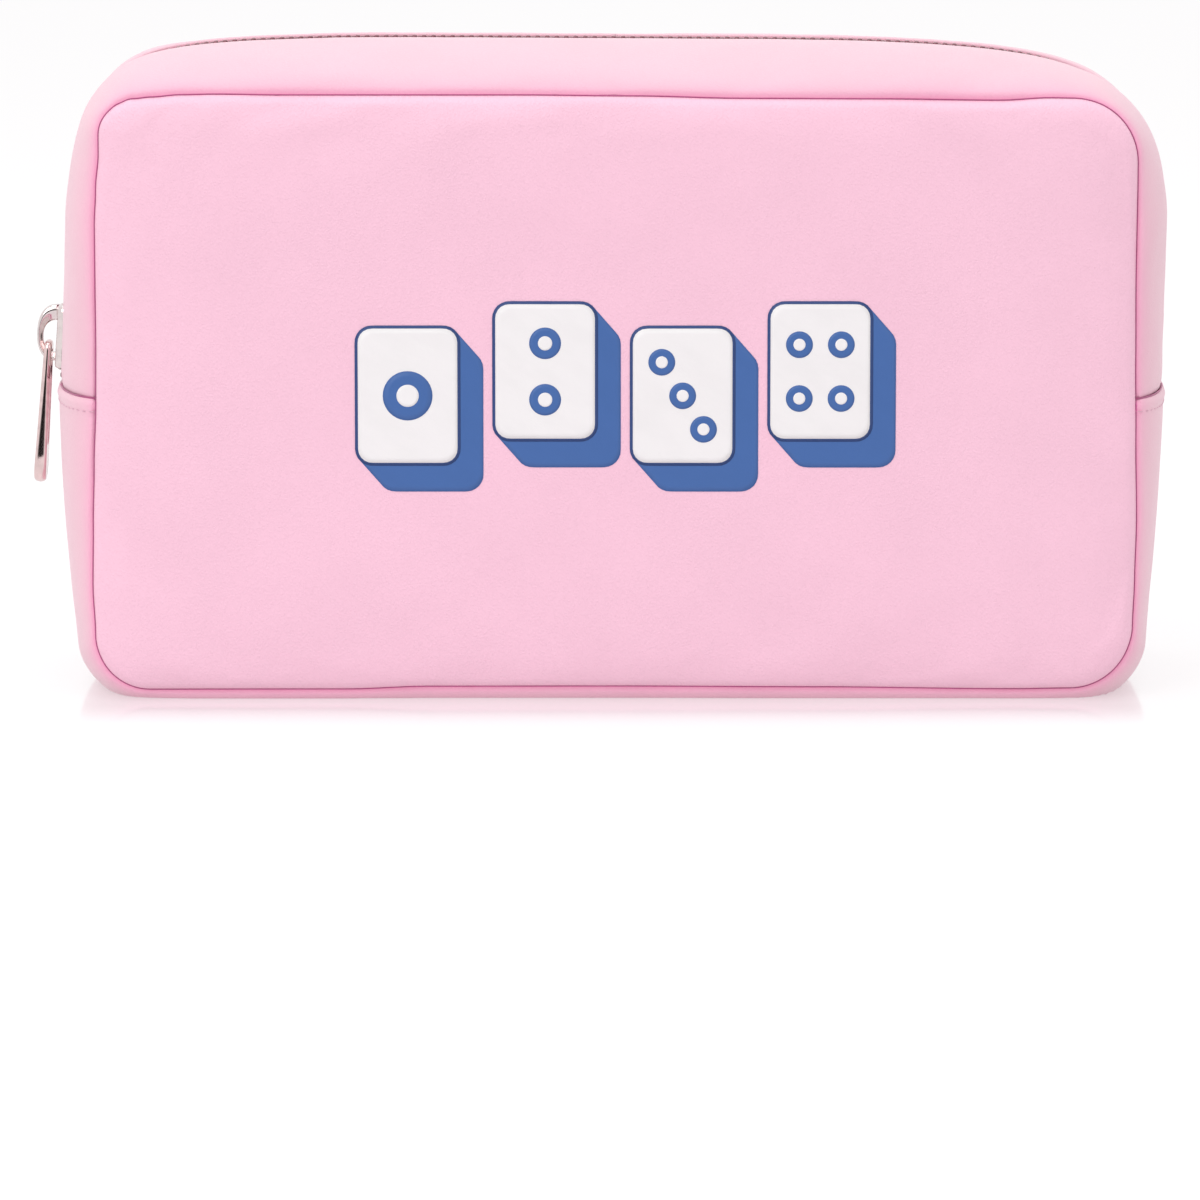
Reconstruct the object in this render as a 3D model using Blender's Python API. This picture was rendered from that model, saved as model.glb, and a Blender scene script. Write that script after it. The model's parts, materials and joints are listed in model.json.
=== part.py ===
"""Soft storage bag for mahjong tiles: padded front and back panels, a gusset between them, and a zip
that runs up the left side, over the top and down the right side.

Metres, X to the right, Y to the back, Z up. The origin is the middle of the underside.
"""
import math

import bmesh
import bpy
import numpy as np

MM = 0.001

# Panels, seen from the front: the seam round each panel
PANEL_WIDTH = 256.0 * MM
PANEL_HEIGHT = 146.6 * MM
PANEL_LIFT = 2.8 * MM
PANEL_CORNER_TOP_LEFT = 9.0 * MM
PANEL_CORNER_TOP_RIGHT = 13.0 * MM
PANEL_CORNER_BOTTOM_RIGHT = 13.0 * MM
PANEL_CORNER_BOTTOM_LEFT = 11.0 * MM
SEAM_DEPTH = 74.0 * MM
SEAM_GAP = 0.3 * MM
LAYER_GAP = 0.3 * MM

# Layers of a padded wall
SKIN_THICKNESS = 1.2 * MM
FOAM_THICKNESS = 2.6 * MM
LINING_THICKNESS = 0.6 * MM
FOAM_INSET = 4.0 * MM
LINING_INSET = 1.5 * MM

# Swell of a padded panel: a roll along its seam and a slow belly inside it
ROLL_HEIGHT = 3.0 * MM
ROLL_WIDTH = 9.0 * MM
BELLY_HEIGHT = 1.5 * MM
BELLY_WIDTH = 32.0 * MM
RING_RADIUS = 6.0 * MM
RING_SHARES = (0.0, 0.05, 0.14, 0.3, 0.58, 1.0)

# Gusset: how far its middle stands beyond the panel seam
SWELL_LEFT = 12.2 * MM
SWELL_RIGHT = 9.0 * MM
SWELL_TOP = 12.5 * MM
BELLY_PRESS = 2.0 * MM
ROUNDING_TOP_LEFT = 16.3 * MM
ROUNDING_TOP_RIGHT = 16.0 * MM
ROUNDING_BOTTOM = 12.0 * MM
LOWER_PROUD = 0.5 * MM
PROFILE_POWER = 2.2
PROFILE_ROOT = 1.7

# The joint of the zip gusset and the lower gusset, and how the sides lean above and below it
JOINT_HEIGHT = 74.6 * MM
JOINT_GAP = 0.3 * MM
LEAN_LEFT = 2.7 * MM
LEAN_RIGHT = -0.75 * MM
LEAN_RUN = 46.0 * MM
SHOULDER_START = 43.4 * MM
SHOULDER_DROP_LEFT = 6.3 * MM
SHOULDER_DROP_RIGHT = 10.8 * MM
TOP_DROOP_LEFT = 5.0 * MM
TOP_DROOP_RIGHT = 11.2 * MM
FOOT_TAPER_LEFT = 6.3 * MM
FOOT_TAPER_RIGHT = 5.0 * MM
FOOT_TAPER_POWER = 1.36

# Zip: tape, teeth and the strips on either side
STRIP_THICKNESS = 1.0 * MM
STRIP_OPENING = 15.0 * MM
TAPE_THICKNESS = 0.6 * MM
TAPE_HIDDEN = 8.5 * MM
COIL_WIDTH = 2.3 * MM
COIL_THICKNESS = 2.1 * MM
COIL_RECESS = 0.5 * MM
COIL_PARTING = 1.0 * MM
FOLD_RUN = 19.0 * MM
FOLD_GAP = 0.3 * MM

# Zip slider
SLIDER_LENGTH = 14.7 * MM
SLIDER_SHOULDER_WIDTH = 12.4 * MM
SLIDER_TAIL_WIDTH = 10.2 * MM
SLIDER_PLATE = 1.2 * MM
SLIDER_PARK = 3.9 * MM
SLIDER_PLAY = 0.3 * MM
SLIDER_CHAMFER = 0.4 * MM
POST_WIDTH = 0.5 * MM
POST_LENGTH = 3.4 * MM
POST_INSET = 0.6 * MM
POST_EMBED = 0.3 * MM

# Bail on the slider, the arch that holds the pull
BAIL_REACH = 4.4 * MM
BAIL_HALF_LENGTH = 6.0 * MM
BAIL_BAND = 1.45 * MM
BAIL_WIDTH = 3.0 * MM
BAIL_SEAT = 7.3 * MM
BAIL_POWER = 2.3

# Pull tab with its long slot
PULL_LENGTH = 35.6 * MM
PULL_HEAD_WIDTH = 6.6 * MM
PULL_TAIL_WIDTH = 9.0 * MM
PULL_HEAD_THICKNESS = 1.9 * MM
PULL_TAIL_THICKNESS = 3.0 * MM
PULL_SLOT_LENGTH = 24.0 * MM
PULL_SLOT_CLEARANCE = 0.45 * MM
PULL_SLOT_ROUND = 0.5 * MM
PULL_SLOT_POWER = 5.0
PULL_HEAD_ROUND = 1.8 * MM
PULL_HEAD_POWER = 2.6
ROUND_POWER = 2.0
PULL_EDGE_BEVEL = 0.35 * MM
PULL_PLAY = 0.25 * MM
BAR_OUT = 1.9 * MM
PULL_LEAN = math.radians(4.2)

# How finely the curves are cut
LEG_STEPS = 4
CORNER_STEPS = 7
FOLD_STEPS = 2
TOP_STEPS = 8
SIDE_STEPS = 4
FOOT_STEPS = 5
BASE_STEPS = 6
STRIP_STEPS = 6
TAPE_STEPS = 2
LINING_STEPS = 5
GUSSET_STEPS = 12
PANEL_CORNER_STEPS = 5
PANEL_SIDE_STEPS = 2
BAIL_STEPS = 12
PULL_END_STEPS = 8

FRONT = -1
BACK = 1

# Places that follow from the sizes above
SEAM_HALF = PANEL_WIDTH / 2
SEAM_Y = SEAM_DEPTH / 2
SEAM_TOP = PANEL_LIFT + PANEL_HEIGHT
MID_LEFT = SEAM_HALF + SWELL_LEFT
MID_RIGHT = SEAM_HALF + SWELL_RIGHT
MID_TOP = SEAM_TOP + SWELL_TOP
FOLD_HALF = min(
    MID_LEFT - ROUNDING_TOP_LEFT,
    MID_RIGHT - ROUNDING_TOP_RIGHT,
    SEAM_HALF - PANEL_CORNER_TOP_LEFT,
    SEAM_HALF - PANEL_CORNER_TOP_RIGHT,
) - FOLD_RUN
STRIP_EDGE = STRIP_OPENING / 2
COIL_INNER = COIL_PARTING / 2
COIL_OUTER = COIL_INNER + COIL_WIDTH
TAPE_INNER = COIL_OUTER + LAYER_GAP
TAPE_OUTER = STRIP_EDGE + TAPE_HIDDEN
TAPE_DEPTH = STRIP_THICKNESS + LAYER_GAP
ZIP_LINING_DEPTH = TAPE_DEPTH + TAPE_THICKNESS + LAYER_GAP
LEFT_LEAN_ANGLE = math.atan2(LEAN_LEFT, LEAN_RUN)

FINISHES = {
    "panel_leather": ((0.93, 0.55, 0.69), 0.48, 0.0),
    "gusset_leather": ((0.95, 0.60, 0.73), 0.5, 0.0),
    "foam": ((0.86, 0.83, 0.76), 0.9, 0.0),
    "lining_nylon": ((0.83, 0.33, 0.50), 0.55, 0.0),
    "zip_tape": ((0.93, 0.57, 0.68), 0.8, 0.0),
    "zip_coil": ((0.72, 0.60, 0.42), 0.35, 0.0),
    "slider_metal": ((0.78, 0.76, 0.75), 0.2, 1.0),
    "pull_metal": ((0.83, 0.72, 0.69), 0.18, 1.0),
}


def make_material(name, finish):
    """A Principled material of the named finish, made anew for each sub-part."""
    colour, roughness, metallic = FINISHES[finish]
    material = bpy.data.materials.new(name + "_finish")
    material.use_nodes = True
    shader = material.node_tree.nodes["Principled BSDF"]
    shader.inputs["Base Color"].default_value = (*colour, 1.0)
    shader.inputs["Roughness"].default_value = roughness
    shader.inputs["Metallic"].default_value = metallic
    material.diffuse_color = (*colour, 1.0)
    return material


def add_solid(name, finish, points, faces, parent=None):
    """A closed solid as an object. The points are measured from the parent, or from the world without one."""
    mesh = bpy.data.meshes.new(name)
    build = bmesh.new()
    corners = [build.verts.new(point) for point in points]
    for face in faces:
        build.faces.new([corners[index] for index in face])
    bmesh.ops.recalc_face_normals(build, faces=build.faces)
    build.to_mesh(mesh)
    build.free()
    solid = bpy.data.objects.new(name, mesh)
    solid.parent = parent
    bpy.context.scene.collection.objects.link(solid)
    if finish:
        mesh.materials.append(make_material(name, finish))
    mesh.shade_smooth()
    mesh.set_sharp_from_angle(angle=math.radians(40.0))
    return solid


def add_pivot(name, place, turn_about_y=0.0, parent=None):
    """An empty on a joint's axis, which carries the pieces that move with the joint."""
    pivot = bpy.data.objects.new(name, None)
    pivot.empty_display_size = SLIDER_LENGTH
    pivot.location = place
    pivot.rotation_euler = (0.0, turn_about_y, 0.0)
    pivot.parent = parent
    bpy.context.scene.collection.objects.link(pivot)
    return pivot


# Outlines in the XZ plane, seen from the front
def straight(start, end, steps):
    """Evenly spaced points from start up to, but without, the end."""
    return [np.array(start) + (np.array(end) - np.array(start)) * step / steps for step in range(steps)]


def bend(centre, radius, start, end, steps):
    """Points on an arc between two angles in degrees, without the last."""
    angles = [math.radians(start + (end - start) * step / steps) for step in range(steps)]
    return [np.array((centre[0] + radius * math.cos(a), centre[1] + radius * math.sin(a))) for a in angles]


def upper_path(left, right, top, round_left, round_right):
    """From the left joint up, over the top and down to the right joint."""
    foot = JOINT_HEIGHT + JOINT_GAP
    points = straight((-left, foot), (-left, top - round_left), LEG_STEPS)
    points += bend((round_left - left, top - round_left), round_left, 180.0, 90.0, CORNER_STEPS)
    points += straight((round_left - left, top), (-FOLD_HALF, top), FOLD_STEPS)
    points += straight((-FOLD_HALF, top), (FOLD_HALF, top), TOP_STEPS)
    points += straight((FOLD_HALF, top), (right - round_right, top), FOLD_STEPS)
    points += bend((right - round_right, top - round_right), round_right, 90.0, 0.0, CORNER_STEPS)
    points += straight((right, top - round_right), (right, foot), LEG_STEPS)
    return np.array(points + [np.array((right, foot))])


def lower_path(left, right, bottom, round_left, round_right):
    """From the right joint down, under the bag and up to the left joint."""
    points = straight((right, JOINT_HEIGHT), (right, bottom + round_right), SIDE_STEPS)
    points += bend((right - round_right, bottom + round_right), round_right, 0.0, -90.0, FOOT_STEPS)
    points += straight((right - round_right, bottom), (round_left - left, bottom), BASE_STEPS)
    points += bend((round_left - left, bottom + round_left), round_left, -90.0, -180.0, FOOT_STEPS)
    points += straight((-left, bottom + round_left), (-left, JOINT_HEIGHT), SIDE_STEPS)
    return np.array(points + [np.array((-left, JOINT_HEIGHT))])


def settle_upper(path):
    """The middle of the zip gusset as it sits: sides lean, shoulders slope and the ends of the top droop."""
    settled = path.copy()
    corner_reach = MID_LEFT - FOLD_HALF
    for point in settled:
        x, z = point
        is_left = x < 0
        outward = max(abs(x) - FOLD_HALF, 0.0) / corner_reach
        lean = (LEAN_LEFT if is_left else LEAN_RIGHT) * (z - JOINT_HEIGHT) / LEAN_RUN
        slope = max(z - JOINT_HEIGHT - SHOULDER_START, 0.0) / (MID_TOP - JOINT_HEIGHT - SHOULDER_START)
        drop = (SHOULDER_DROP_LEFT if is_left else SHOULDER_DROP_RIGHT) * slope ** 2
        droop = TOP_DROOP_LEFT if is_left else TOP_DROOP_RIGHT
        reach = MID_LEFT if is_left else MID_RIGHT
        point[0] -= math.copysign((lean + drop) * min(outward, 1.0), x)
        point[1] -= droop * (x / reach) ** 4 * slope
    return settled


def settle_lower(path):
    """The middle of the lower gusset, narrowing towards the foot."""
    settled = path.copy()
    for point in settled:
        fall = max(JOINT_HEIGHT - point[1], 0.0) / JOINT_HEIGHT
        share = min(abs(point[0]) / SEAM_HALF, 1.0)
        taper = FOOT_TAPER_LEFT if point[0] < 0 else FOOT_TAPER_RIGHT
        point[0] -= math.copysign(taper * fall ** FOOT_TAPER_POWER * share, point[0])
    return settled


def outward_directions(path):
    """The direction out of the bag at each point of a path that runs clockwise."""
    along = np.gradient(path, axis=0)
    normals = np.stack((-along[:, 1], along[:, 0]), axis=1)
    return normals / np.linalg.norm(normals, axis=1)[:, None]


class Gusset:
    """The curved side wall between the two panel seams, as a surface at any depth below its outside."""

    def __init__(self, seam, middle):
        self.seam = seam
        self.middle = middle
        self.outward = outward_directions(middle)

    def point(self, row, y, depth):
        """The point of one row at the distance y from the middle plane, at a depth below the outside."""
        half = SEAM_Y - depth
        share = min(abs(y) / half, 1.0)
        rise = (1.0 - share ** PROFILE_POWER) ** (1.0 / PROFILE_ROOT)
        crest = self.middle[row] - self.outward[row] * depth
        x, z = self.seam[row] + (crest - self.seam[row]) * rise
        return x, y, max(z, depth)

    def grid(self, rows, side, start, end, depth, steps):
        """Rows of points across the gusset between two distances from the middle plane.

        A start or end of None is the seam, and the spacing is closer where the wall curves most.
        """
        half = SEAM_Y - depth
        first = 0.0 if start is None else math.acos(start / half)
        last = math.pi if end is None else math.acos(end / half)
        angles = [first + (last - first) * step / steps for step in range(steps + 1)]
        return [[self.point(row, side * half * math.cos(angle), depth) for angle in angles] for row in rows]


def grid_solid(outer, inner):
    """Points and faces of the closed solid between two grids of the same size."""
    rows, columns = len(outer), len(outer[0])
    points = [point for grid in (outer, inner) for row in grid for point in row]

    def place(layer, row, column):
        return (layer * rows + row) * columns + column

    faces = []
    for row in range(rows - 1):
        for column in range(columns - 1):
            quad = ((row, column), (row + 1, column), (row + 1, column + 1), (row, column + 1))
            faces.append([place(0, *corner) for corner in quad])
            faces.append([place(1, *corner) for corner in reversed(quad)])
    rim = [(row, 0) for row in range(rows)]
    rim += [(rows - 1, column) for column in range(1, columns)]
    rim += [(row, columns - 1) for row in reversed(range(rows - 1))]
    rim += [(0, column) for column in reversed(range(1, columns - 1))]
    for here, following in zip(rim, rim[1:] + rim[:1]):
        faces.append([place(0, *following), place(0, *here), place(1, *here), place(1, *following)])
    return points, faces


def loft_solid(loops):
    """Points and faces of a closed solid through loops of points, with flat ends."""
    count = len(loops[0])
    points = [point for loop in loops for point in loop]
    faces = [list(range(count)), list(range((len(loops) - 1) * count, len(loops) * count))]
    for level in range(len(loops) - 1):
        for index in range(count):
            following = (index + 1) % count
            base, above = level * count, (level + 1) * count
            faces.append([base + index, base + following, above + following, above + index])
    return points, faces


# Panels
def panel_loop(inset):
    """The panel's outline drawn in by a distance, as a closed loop in the XZ plane."""
    half = SEAM_HALF - inset
    bottom, top = PANEL_LIFT + inset, SEAM_TOP - inset
    corners = (
        (-1, 1, PANEL_CORNER_TOP_LEFT, 180.0),
        (1, 1, PANEL_CORNER_TOP_RIGHT, 90.0),
        (1, -1, PANEL_CORNER_BOTTOM_RIGHT, 0.0),
        (-1, -1, PANEL_CORNER_BOTTOM_LEFT, -90.0),
    )
    arcs = []
    for across, up, radius, start in corners:
        radius = max(radius - inset, RING_RADIUS)
        centre = (across * (half - radius), (top if up > 0 else bottom) - up * radius)
        arc = bend(centre, radius, start, start - 90.0, PANEL_CORNER_STEPS)
        closing = bend(centre, radius, start - 90.0, start, 1)
        arcs.append(arc + closing)
    loop = []
    for arc, following in zip(arcs, arcs[1:] + arcs[:1]):
        loop += arc[:-1] + straight(arc[-1], following[0], PANEL_SIDE_STEPS)
    return loop


def panel_swell(inset):
    """How far the panel stands out of its seam plane at a distance inside the seam."""
    roll = 1.0 - min(inset / ROLL_WIDTH, 1.0)
    belly = 1.0 - min(inset / BELLY_WIDTH, 1.0)
    return ROLL_HEIGHT * math.sqrt(1.0 - roll ** 2) + BELLY_HEIGHT * (1.0 - belly ** 2)


def add_panel_layer(name, finish, side, first_inset, depth, thickness):
    """One layer of a padded panel: its outer face lies a depth below the panel's outside."""
    insets = [first_inset + (BELLY_WIDTH - first_inset) * share for share in RING_SHARES]

    def loops(below):
        rings = []
        for inset in insets:
            y = side * (SEAM_Y + panel_swell(inset) - below)
            rings.append([(x, y, z) for x, z in panel_loop(inset)])
        return rings

    outer, inner = loops(depth), loops(depth + thickness)
    return add_solid(name, finish, *loft_solid(outer[::-1] + inner))


def add_panels():
    """Front and back panel, each with its skin, foam and lining."""
    foam_depth = SKIN_THICKNESS + LAYER_GAP
    lining_depth = foam_depth + FOAM_THICKNESS + LAYER_GAP
    for name, side in (("front_panel", FRONT), ("back_panel", BACK)):
        add_panel_layer(name, "panel_leather", side, SEAM_GAP, 0.0, SKIN_THICKNESS)
        add_panel_layer(name + "_foam", "foam", side, FOAM_INSET, foam_depth, FOAM_THICKNESS)
        add_panel_layer(name + "_lining", "lining_nylon", side, LINING_INSET, lining_depth, LINING_THICKNESS)


# Gussets
def make_zip_gusset():
    """The wall that holds the zip: up the left side, over the top and down the right side."""
    seam = upper_path(SEAM_HALF, SEAM_HALF, SEAM_TOP, PANEL_CORNER_TOP_LEFT, PANEL_CORNER_TOP_RIGHT)
    middle = upper_path(MID_LEFT, MID_RIGHT, MID_TOP, ROUNDING_TOP_LEFT, ROUNDING_TOP_RIGHT)
    return Gusset(seam, settle_upper(middle))


def make_lower_gusset():
    """The wall under the bag and up both sides to the zip gusset."""
    seam = lower_path(SEAM_HALF, SEAM_HALF, PANEL_LIFT, PANEL_CORNER_BOTTOM_LEFT, PANEL_CORNER_BOTTOM_RIGHT)
    left, right = MID_LEFT + LOWER_PROUD, MID_RIGHT + LOWER_PROUD
    middle = lower_path(left, right, -BELLY_PRESS, ROUNDING_BOTTOM, ROUNDING_BOTTOM)
    return Gusset(seam, settle_lower(middle))


def add_gusset_layer(name, finish, gusset, depth, thickness, steps):
    """One layer of the lower gusset, from seam to seam."""
    rows = range(len(gusset.seam))
    outer = gusset.grid(rows, FRONT, None, None, depth, steps)
    inner = gusset.grid(rows, FRONT, None, None, depth + thickness, steps)
    return add_solid(name, finish, *grid_solid(outer, inner))


def add_lower_gusset():
    """Skin, foam and lining of the lower gusset."""
    gusset = make_lower_gusset()
    foam_depth = SKIN_THICKNESS + LAYER_GAP
    lining_depth = foam_depth + FOAM_THICKNESS + LAYER_GAP
    layers = (
        ("lower_gusset", "gusset_leather", 0.0, SKIN_THICKNESS),
        ("lower_gusset_foam", "foam", foam_depth, FOAM_THICKNESS),
        ("lower_gusset_lining", "lining_nylon", lining_depth, LINING_THICKNESS),
    )
    for name, finish, depth, thickness in layers:
        add_gusset_layer(name, finish, gusset, depth, thickness, GUSSET_STEPS)


def fold_cut(gusset, rows, trim_start, trim_end):
    """A copy of the gusset whose first or last row is drawn back, so that stretches meet across a gap."""
    first, last = rows[0], rows[-1]
    seam, middle = gusset.seam.copy(), gusset.middle.copy()
    for path in (seam, middle):
        if trim_start:
            path[first, 0] += FOLD_GAP / 2
        if trim_end:
            path[last, 0] -= FOLD_GAP / 2
    trimmed = Gusset(seam, middle)
    trimmed.outward = gusset.outward
    return trimmed


def add_zip_stretch(label, wall, rows, side, pivot):
    """Strip, lining, tape and teeth of one stretch of one half of the zip gusset."""
    origin = np.array(pivot.location if pivot else (0.0, 0.0, 0.0))
    layers = (
        ("_strip", "gusset_leather", None, STRIP_EDGE, 0.0, STRIP_THICKNESS, STRIP_STEPS),
        ("_tape", "zip_tape", TAPE_OUTER, TAPE_INNER, TAPE_DEPTH, TAPE_THICKNESS, TAPE_STEPS),
        ("_coil", "zip_coil", COIL_OUTER, COIL_INNER, COIL_RECESS, COIL_THICKNESS, 1),
        ("_lining", "lining_nylon", None, STRIP_EDGE, ZIP_LINING_DEPTH, LINING_THICKNESS, LINING_STEPS),
    )
    for ending, finish, start, end, depth, thickness, steps in layers:
        outer = wall.grid(rows, side, start, end, depth, steps)
        inner = wall.grid(rows, side, start, end, depth + thickness, steps)
        points, faces = grid_solid(outer, inner)
        points = [np.array(point) - origin for point in points]
        add_solid(label + ending, finish, points, faces, parent=pivot)


def add_zip_gusset():
    """Both halves of the zip gusset. The run over the top folds out on each side when the zip is open."""
    whole = make_zip_gusset()
    fold_start = LEG_STEPS + CORNER_STEPS + FOLD_STEPS
    fold_end = fold_start + TOP_STEPS
    last = len(whole.seam) - 1
    stretches = {
        "left": (range(0, fold_start + 1), False, True),
        "top": (range(fold_start, fold_end + 1), True, True),
        "right": (range(fold_end, last + 1), True, False),
    }
    for half, side in (("front", FRONT), ("back", BACK)):
        fold = add_pivot(half + "_mouth_fold", (0.0, side * SEAM_Y, SEAM_TOP))
        for stretch, (rows, trim_start, trim_end) in stretches.items():
            wall = fold_cut(whole, rows, trim_start, trim_end)
            pivot = fold if stretch == "top" else None
            add_zip_stretch(half + "_zip_" + stretch, wall, rows, side, pivot)


# Slider, in its own frame: its Z runs up the zip, and its -X points out of the bag
def channel_loop(half_width, inner_half, face, back, lip, z):
    """Section of a slider plate with a lip down each side, from its outer face to its back and lips."""
    cut = math.copysign(SLIDER_CHAMFER, back - face)
    outline = (
        (face, half_width - SLIDER_CHAMFER),
        (face + cut, half_width),
        (lip, half_width),
        (lip, inner_half),
        (back, inner_half),
    )
    mirrored = [(x, -y) for x, y in reversed(outline)]
    return [(x, y, z) for x, y in list(outline) + mirrored]


def add_slider_channel(name, finish, face, back, lip, parent):
    """A slider plate, widest at the shoulders by the post and rounded off at both ends."""
    length_shares = (0.0, 0.08, 0.3, 0.65, 0.92, 1.0)
    width_shares = (0.72, 0.94, 1.0, 0.35, 0.0, -0.6)
    tail, spread = SLIDER_TAIL_WIDTH / 2, (SLIDER_SHOULDER_WIDTH - SLIDER_TAIL_WIDTH) / 2
    inner_half = COIL_OUTER + SLIDER_PLAY
    loops = []
    for length_share, width_share in zip(length_shares, width_shares):
        half_width = tail + spread * width_share
        loops.append(channel_loop(half_width, inner_half, face, back, lip, SLIDER_LENGTH * length_share))
    return add_solid(name, finish, *loft_solid(loops), parent=parent)


def box_solid(low, high):
    """Points and faces of a box between two corners."""
    loops = []
    for z in (low[2], high[2]):
        loops.append([(low[0], low[1], z), (high[0], low[1], z), (high[0], high[1], z), (low[0], high[1], z)])
    return loft_solid(loops)


def hide_tool(tool):
    """Marks a solid that only serves to shape another."""
    tool.hide_render = True
    tool.display_type = "WIRE"


def add_union(target, tool):
    """Joins a second solid to a piece."""
    union = target.modifiers.new(tool.name, "BOOLEAN")
    union.operation = "UNION"
    union.solver = "EXACT"
    union.object = tool
    hide_tool(tool)


def add_slider(run):
    """The slider's body: two plates round the teeth, held together by the post between the two rows.

    Returns the place of its outer face, on which the bail sits.
    """
    upper_back = -(SLIDER_PLAY - COIL_RECESS)
    upper_face = upper_back - SLIDER_PLATE
    upper_lip = TAPE_DEPTH - SLIDER_PLAY
    lower_back = COIL_RECESS + COIL_THICKNESS + SLIDER_PLAY
    lower_face = lower_back + SLIDER_PLATE
    lower_lip = TAPE_DEPTH + TAPE_THICKNESS + SLIDER_PLAY
    body = add_slider_channel("slider_body", "slider_metal", upper_face, upper_back, upper_lip, run)
    under = add_slider_channel("slider_underplate", None, lower_face, lower_back, lower_lip, run)
    low = (upper_back - POST_EMBED, -POST_WIDTH / 2, POST_INSET)
    high = (lower_back + POST_EMBED, POST_WIDTH / 2, POST_INSET + POST_LENGTH)
    post = add_solid("slider_post", None, *box_solid(low, high), parent=run)
    add_union(body, under)
    add_union(body, post)
    return upper_face


def add_bail(run, seat):
    """The arch on the slider's outer plate that holds the pull. Its feet stand a gap off the plate."""
    feet = seat - LAYER_GAP
    loops = []
    for step in range(BAIL_STEPS + 1):
        angle = math.pi * (step / BAIL_STEPS - 0.5)
        across, up = math.cos(angle), math.sin(angle)
        reach = abs(across) ** (2 / BAIL_POWER)
        rise = math.copysign(abs(up) ** (2 / BAIL_POWER), up)
        loop = []
        for offset, y in ((-1, -1), (1, -1), (1, 1), (-1, 1)):
            out = (BAIL_REACH + offset * BAIL_BAND / 2) * reach
            along = BAIL_SEAT + (BAIL_HALF_LENGTH + offset * BAIL_BAND / 2) * rise
            loop.append((feet - out, y * BAIL_WIDTH / 2, along))
        loops.append(loop)
    add_solid("slider_bail", "slider_metal", *loft_solid(loops), parent=run)


def rounded_end(half_width, rise, power):
    """Points across one end of a tab, round for a power of 2 and squarer for a higher one."""
    points = []
    for step in range(PULL_END_STEPS + 1):
        angle = math.pi * step / PULL_END_STEPS
        across = math.copysign(abs(math.cos(angle)) ** (2 / power), math.cos(angle))
        points.append((half_width * across, rise * abs(math.sin(angle)) ** (2 / power)))
    return points


def tab_loop(head_half, head_rise, head_power, tail_half, start, end):
    """A closed loop of a head and a round tail, as distances across the tab and along it from the pivot."""
    head = rounded_end(head_half, head_rise, head_power)
    tail = rounded_end(tail_half, tail_half, ROUND_POWER)
    loop = [(across, start + head_rise - rise) for across, rise in head]
    return loop + [(-across, end - tail_half + rise) for across, rise in tail]


def add_pull(pivot):
    """The pull: a tab with a long slot, whose crossbar lies in the bail. It hangs along -Z from the pivot."""
    bar = PULL_HEAD_THICKNESS / 2
    slot_half = BAIL_WIDTH / 2 + PULL_SLOT_CLEARANCE
    head, tail = PULL_HEAD_WIDTH / 2, PULL_TAIL_WIDTH / 2
    outer = tab_loop(head, PULL_HEAD_ROUND, PULL_HEAD_POWER, tail, -bar, PULL_LENGTH - bar)
    inner = tab_loop(slot_half, PULL_SLOT_ROUND, PULL_SLOT_POWER, slot_half, bar, bar + PULL_SLOT_LENGTH)

    def thickness(along):
        share = min(max(along / PULL_LENGTH, 0.0), 1.0)
        return (PULL_HEAD_THICKNESS + (PULL_TAIL_THICKNESS - PULL_HEAD_THICKNESS) * share) / 2

    count = len(outer)
    points = []
    for loop in (outer, inner):
        for face in (FRONT, BACK):
            points += [(face * thickness(along), across, -along) for across, along in loop]
    faces = []
    for index in range(count):
        following = (index + 1) % count
        for near, far in ((0, 1), (1, 3), (3, 2), (2, 0)):
            quad = (near, index), (near, following), (far, following), (far, index)
            faces.append([ring * count + place for ring, place in quad])
    pull = add_solid("pull_tab", "pull_metal", points, faces, parent=pivot)
    bevel = pull.modifiers.new("edges", "BEVEL")
    bevel.width = PULL_EDGE_BEVEL
    bevel.segments = 2
    bevel.limit_method = "ANGLE"
    bevel.angle_limit = math.radians(50.0)


def add_zip_slider():
    """Slider, bail and pull, parked at the foot of the left leg where the zip is closed."""
    park_height = JOINT_HEIGHT + SLIDER_PARK
    leg_x = LEAN_LEFT * SLIDER_PARK / LEAN_RUN - MID_LEFT
    run = add_pivot("zip_slider_run", (leg_x, 0.0, park_height), turn_about_y=LEFT_LEAN_ANGLE)
    seat = add_slider(run)
    add_bail(run, seat)
    bar = PULL_HEAD_THICKNESS / 2
    arch_reach = BAIL_REACH - BAIL_BAND / 2
    arch_half = BAIL_HALF_LENGTH - BAIL_BAND / 2
    share = (BAR_OUT + bar) / arch_reach
    height = BAIL_SEAT - arch_half * (1.0 - share ** BAIL_POWER) ** (1.0 / BAIL_POWER) + bar + PULL_PLAY
    place = (seat - LAYER_GAP - BAR_OUT, 0.0, height)
    pivot = add_pivot("pull_pivot", place, turn_about_y=PULL_LEAN - LEFT_LEAN_ANGLE, parent=run)
    add_pull(pivot)


def main():
    """Clears the scene and builds the bag."""
    for leftover in list(bpy.data.objects):
        bpy.data.objects.remove(leftover, do_unlink=True)
    add_panels()
    add_lower_gusset()
    add_zip_gusset()
    add_zip_slider()


main()
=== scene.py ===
"""Looks of a soft, padded storage bag for mahjong tiles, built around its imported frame.

Metres, X to the right, Y to the back, Z up, with the origin in the middle of the underside. Every fabric
piece is a surface worked out from the seam outlines of the frame, dressed with creases that cloth makes
when it is sewn down over padding.
"""

import json
import logging
import math
from dataclasses import dataclass
from enum import Enum
from functools import cache

import bmesh
import bpy
import numpy as np
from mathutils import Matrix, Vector
from mathutils.bvhtree import BVHTree


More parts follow.
